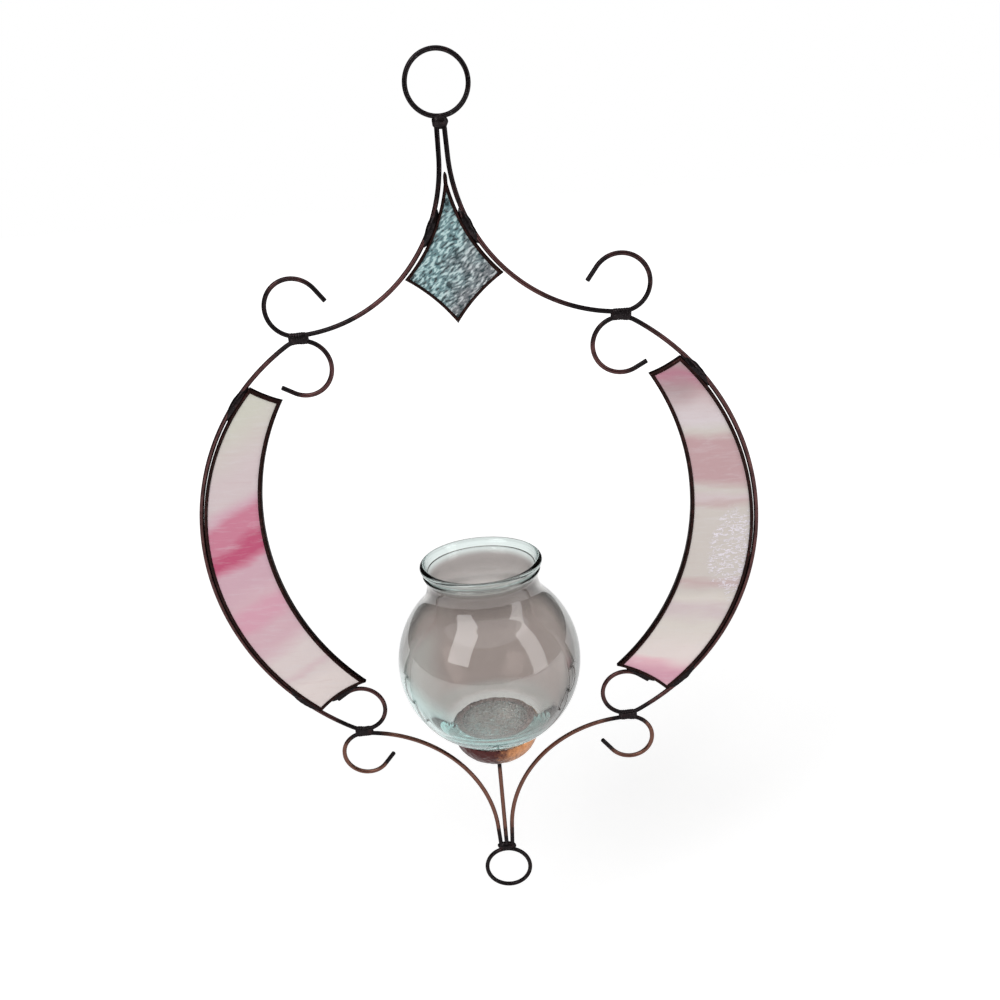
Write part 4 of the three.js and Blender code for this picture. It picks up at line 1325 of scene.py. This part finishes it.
class VASE_OT_crescents(Operator):
    """Make the two crescent panes with their foil and solder"""

    bl_idname = "vase.crescents"
    bl_label = "Crescent panes"

    def execute(self, context):
        wires = wires_now()
        w = wires.sizes
        panes = context.scene.vase_panes
        pane = crescent_pane(wires, panes)
        centre = wires.flank_centre
        bottom_corner, top_corner, _, bottom_inner = pane.corners
        tail = pane.sides[3]
        tail_start = heading_to(tail.centre, bottom_inner) - 4.5 * MM / tail.radius
        radius = w.flank - w.diameter / 2 - panes.crescent_gap / 2 + SEAM_LAP
        # Centre and radius of the seam's circle, where it starts, how far it runs, and half its width
        seams = {
            "upper": (centre, radius, heading_to(centre, top_corner), -18 * MM, SEAM_HALF_WIDTH),
            "lower": (centre, radius, heading_to(centre, bottom_corner), 19 * MM, SEAM_HALF_WIDTH),
            "tail": (tail.centre, tail.radius - 0.6 * MM, tail_start, -15 * MM, 1.5 * MM),
        }
        for label, side in SIDES:
            glass, _ = glass_shape(pane, panes, side, CRESCENT_CELLS, (0.12 * MM, wave))
            finish = opal_finish(label)
            node = f"crescent_glass_{label}"
            make_piece(f"crescent_pane_{label}", glass, finish, [node])
            foil, bead = foil_shape(pane, panes, panes.lip, side, 3.1 + side)
            node = f"crescent_foil_{label}"
            make_piece(f"{node}_bead", foil, foil_finish(), [node], masks={"bead": bead}, sharp=60)
            for name, (middle, bend, start, run, half_width) in seams.items():
                seam = seam_shape(middle, bend, start, run, half_width, side, side + run / MM)
                add_solder(f"crescent_solder_{name}_{label}", "run", seam)
        return {"FINISHED"}


class VASE_OT_cup(Operator):
    """Make the hammered copper cup"""

    bl_idname = "vase.cup"
    bl_label = "Copper cup"

    def execute(self, context):
        v = context.scene.vase_vessel
        low, high = CUP_BOX
        radius = high.x
        depth = high.z - low.z
        rim = (0, high.z)
        outside = arc(rim, (radius, depth), -QUARTER, 0, 0.5 * MM)
        half_wall = v.cup_wall / 2
        edge = arc((radius - half_wall, high.z), (half_wall, half_wall), 0, -math.pi, 0.3 * MM)
        edge = [Vector((point.x, high.z - 0.2 * MM + (high.z - point.y) * 0.5)) for point in edge[1:-1]]
        inside = arc(rim, (radius - v.cup_wall, depth - v.cup_wall), 0, -QUARTER, 0.5 * MM)
        profile = outside[:-1] + [Vector((point.x, min(point.y, high.z))) for point in edge] + inside[1:]

        def hammered(place, _):
            near = noise.voronoi(place / v.hammer_mark)[0][0]
            return v.hammer_depth * max(0.0, 1 - 1.6 * near**1.5)

        shape = turned_shape(profile, CUP_POINTS, hammered)
        first_inside = len(shape[0]) - 1 - CUP_POINTS * (len(inside) - 2)
        masks = {"inside": [1.0 if i >= first_inside else 0.0 for i in range(len(shape[0]))]}
        make_piece("cup_hammered", shape, copper_finish(), ["copper_cup"], masks=masks, sharp=70)
        return {"FINISHED"}


def shoulder(v, ball_radius, neck_radius, centre_z):
    """The shoulder sweeps off the ball and draws in to the neck"""
    off = along(v.shoulder) * ball_radius
    reach = (v.neck_rise - off.y) / 2
    handle = off + along(v.shoulder + QUARTER) * reach
    neck = Vector((neck_radius, v.neck_rise))
    curve = bezier([off, handle, neck - Vector((0, reach)), neck], 22)
    return [Vector((point.x, point.y + centre_z)) for point in curve]


class VASE_OT_bowl(Operator):
    """Make the glass bowl with its neck, rolled lip and heavy floor"""

    bl_idname = "vase.bowl"
    bl_label = "Glass bowl"

    def execute(self, context):
        v = context.scene.vase_vessel
        foot_z = BOWL_BOX[0].z
        ball = v.bowl_radius
        centre_z = foot_z + math.sqrt(ball**2 - v.foot_radius**2)
        centre = (0, centre_z)
        inner = ball - v.bowl_wall
        inner_neck = v.neck_radius - v.bowl_wall
        recess_z = foot_z + v.foot_recess
        foot_inner = v.foot_radius - v.foot_rim
        floor_z = foot_z + v.floor_thickness
        corner_z = floor_z + v.floor_corner
        foot_angle = math.asin((foot_z - centre_z) / ball)
        inner_angle = math.asin((corner_z - centre_z) / inner)
        floor_reach = inner * math.cos(inner_angle) - v.floor_radius
        ridge = v.ridge_thickness / 2
        roll = v.lip_thickness / 2
        under = straight(Vector((0, recess_z)), Vector((foot_inner - v.foot_recess, recess_z)))
        foot = under + straight(under[-1], Vector((foot_inner, foot_z)))[1:]
        foot += straight(foot[-1], Vector((v.foot_radius - 0.5 * MM, foot_z)))[1:]
        outside = arc(centre, (ball, ball), foot_angle, v.shoulder)
        outside += shoulder(v, ball, v.neck_radius, centre_z)[1:]
        ridge_middle = (v.ridge_radius - ridge, centre_z + v.ridge_rise)
        lip_middle = (v.lip_radius, centre_z + v.lip_rise)
        outside += arc(ridge_middle, (ridge, ridge), math.radians(-60), math.radians(60), 0.35 * MM)
        lip = arc(lip_middle, (roll, roll), math.radians(-50), math.radians(190), 0.35 * MM)
        throat = [Vector((inner_neck + 0.3 * MM, centre_z + v.ridge_rise))]
        inside = shoulder(v, inner, inner_neck, centre_z)[::-1]
        inside += arc(centre, (inner, inner), v.shoulder, inner_angle)[1:]
        corner = (v.floor_radius, corner_z)
        inside += arc(corner, (floor_reach, v.floor_corner), math.radians(-25), -QUARTER)
        floor = straight(Vector((v.floor_radius, floor_z)), Vector((0, floor_z)))
        inside += floor[1:]
        profile = foot + outside + lip + throat + inside
        floor_start = len(profile) - len(floor)

        def blown(place, i):
            sink = 0.04 * MM * (1 + rough(place, 24 * MM, 2.0 if i < len(foot) + len(outside) else 6.0))
            if i < len(under) or i > floor_start:
                sink += 0.16 * MM * (1 + rough(place, 1.1 * MM, 8.0 + (i > floor_start)))
            return sink

        def in_recess(place):
            return place.z < recess_z + 0.6 * MM and place.xy.length < foot_inner

        shape = turned_shape(profile, BOWL_POINTS, blown)
        masks = {"stippled": [float(in_recess(place)) for place in shape[0]]}
        make_piece("bowl_blown", shape, bowl_finish(), ["glass_bowl"], "bowl", masks, 70)
        return {"FINISHED"}


def background_share(s):
    """1 for rays that see the background: from the camera, off gloss and through glass"""
    path = s.add("ShaderNodeLightPath").outputs
    return s.larger(s.larger(path["Is Camera Ray"], path["Is Glossy Ray"]), path["Is Transmission Ray"])


def floor_finish():
    def build(s, surface, output):
        grain = s.noise(s.place(), 900.0, 4.0, 0.6)
        s.feed(surface.inputs["Base Color"], s.mix(grain, (0.90, 0.90, 0.90), (0.93, 0.93, 0.93)))
        glow = s.times(background_share(s), s.between(s.distance(s.place()), 0.25, 1.2, 0.24, 0.7))
        lift = s.add("ShaderNodeEmission", {"Color": (1, 1, 1), "Strength": glow})
        both = s.add("ShaderNodeAddShader", {0: surface.outputs[0], 1: lift.outputs[0]})
        s.feed(output.inputs["Surface"], both.outputs[0])

    return new_finish("Pale Floor", build, {"Roughness": 0.9, "Specular IOR Level": 0.0})


def screen_finish():
    def build(s, surface, _):
        cloth = s.noise(s.place(), 40.0, 2.0)
        s.feed(surface.inputs["Base Color"], s.mix(cloth, (0.05, 0.05, 0.05), (0.07, 0.065, 0.06)))

    return new_finish("Dark Cloth", build, {"Roughness": 1.0, "Specular IOR Level": 0.0})


def area_lamp(name, place, target, size, energy):
    data = bpy.data.lights.new(name, "AREA")
    data.shape = "RECTANGLE"
    data.size, data.size_y = size
    data.energy = energy
    lamp = put_in_scene(name, data)
    lamp.location = place
    lamp.rotation_mode = "QUATERNION"
    lamp.rotation_quaternion = (Vector(target) - Vector(place)).to_track_quat("-Z", "Y")


class VASE_OT_stage(Operator):
    """Make the floor, the dark screen, the soft lamps, the white surroundings and the camera"""

    bl_idname = "vase.stage"
    bl_label = "Stage"

    def add_floor(self, floor_z, half):
        corners = [Vector((x * half, y * half, floor_z)) for x, y in ((-1, -1), (1, -1), (1, 1), (-1, 1))]
        floor = put_in_scene("floor", new_mesh("floor", (corners, [(0, 1, 2, 3)]), floor_finish()))

    def add_dark_screen(self, floor_z):
        """A dark screen round the studio that only gloss reflects. It shows the form of metal and glass."""
        radius, height, points = 2.2, 2.0, 48
        circle = [along(TURN * i / points) * radius for i in range(points)]
        rings = [[Vector((*place, z)) for place in circle] for z in (floor_z, floor_z + height)]
        shape = skin(rings, caps=False)
        screen = put_in_scene("dark_screen", new_mesh("dark_screen", shape, screen_finish()))
        for kind in ("camera", "diffuse", "transmission", "volume_scatter", "shadow"):
            setattr(screen, f"visible_{kind}", False)

    def add_surroundings(self, scene):
        world = bpy.data.worlds.new("White Studio")
        world.use_nodes = True
        world.node_tree.nodes.clear()
        s = Shading(world.node_tree)
        strength = s.between(background_share(s), 0, 1, scene.vase_stage.room_light, 1.0)
        light = s.add("ShaderNodeBackground", {"Color": (1, 1, 1), "Strength": strength})
        s.add("ShaderNodeOutputWorld", {"Surface": light.outputs[0]})
        scene.world = world

    def add_camera(self, scene):
        """The camera, a little to the right of the vase and looking down at it"""
        place = Vector((29.18, -460.02, -13.66)) * MM
        right = Vector((0.99683, 0.01027, -0.07887))
        forward = Vector((-0.03713, 0.93702, -0.34730))
        up = Vector((0.07034, 0.34913, 0.93443))
        data = bpy.data.cameras.new("camera")
        data.lens = scene.vase_stage.lens
        data.sensor_width = 36
        camera = put_in_scene("camera", data)
        camera.matrix_world = Matrix.Translation(place) @ Matrix((right, up, -forward)).transposed().to_4x4()
        scene.camera = camera

    def execute(self, context):
        scene = context.scene
        stage = scene.vase_stage
        floor_z = CAD_BOX[0].z - stage.floor_drop
        middle = (CAD_BOX[0] + CAD_BOX[1]) / 2
        self.add_floor(floor_z, stage.floor_size)
        self.add_dark_screen(floor_z)
        area_lamp("key_lamp", (-0.75, -0.95, 0.65), middle, (0.75, 1.1), stage.key_power)
        area_lamp("fill_lamp", (1.0, -0.45, 0.15), middle, (0.45, 1.1), stage.fill_power)
        self.add_surroundings(scene)
        self.add_camera(scene)
        scene.view_settings.view_transform = "Standard"
        return {"FINISHED"}


OPERATORS = [
    VASE_OT_stage,
    VASE_OT_rings,
    VASE_OT_top_wires,
    VASE_OT_side_wires,
    VASE_OT_bottom_wires,
    VASE_OT_bindings,
    VASE_OT_ring_solder,
    VASE_OT_kite,
    VASE_OT_crescents,
    VASE_OT_cup,
    VASE_OT_bowl,
]


class VASE_PT_pieces(Panel):
    """Lists the operators that make the vase"""

    bl_idname = "VASE_PT_pieces"
    bl_label = "Hanging propagation vase"
    bl_space_type = "VIEW_3D"
    bl_region_type = "UI"
    bl_category = "Vase"

    def draw(self, context):
        for operator in OPERATORS:
            self.layout.operator(operator.bl_idname)


def register():
    for name, group in PROPERTY_GROUPS.items():
        bpy.utils.register_class(group)
        setattr(bpy.types.Scene, name, PointerProperty(type=group))
    for each in [*OPERATORS, VASE_PT_pieces]:
        bpy.utils.register_class(each)


def unregister():
    for each in [VASE_PT_pieces, *reversed(OPERATORS)]:
        bpy.utils.unregister_class(each)
    for name, group in PROPERTY_GROUPS.items():
        delattr(bpy.types.Scene, name)
        bpy.utils.unregister_class(group)


def main():
    register()
    bpy.ops.vase.stage()
    bpy.ops.vase.rings()
    bpy.ops.vase.top_wires()
    bpy.ops.vase.side_wires()
    bpy.ops.vase.bottom_wires()
    bpy.ops.vase.bindings()
    bpy.ops.vase.ring_solder()
    bpy.ops.vase.kite()
    bpy.ops.vase.crescents()
    bpy.ops.vase.cup()
    bpy.ops.vase.bowl()


if __name__ == "__main__":
    main()
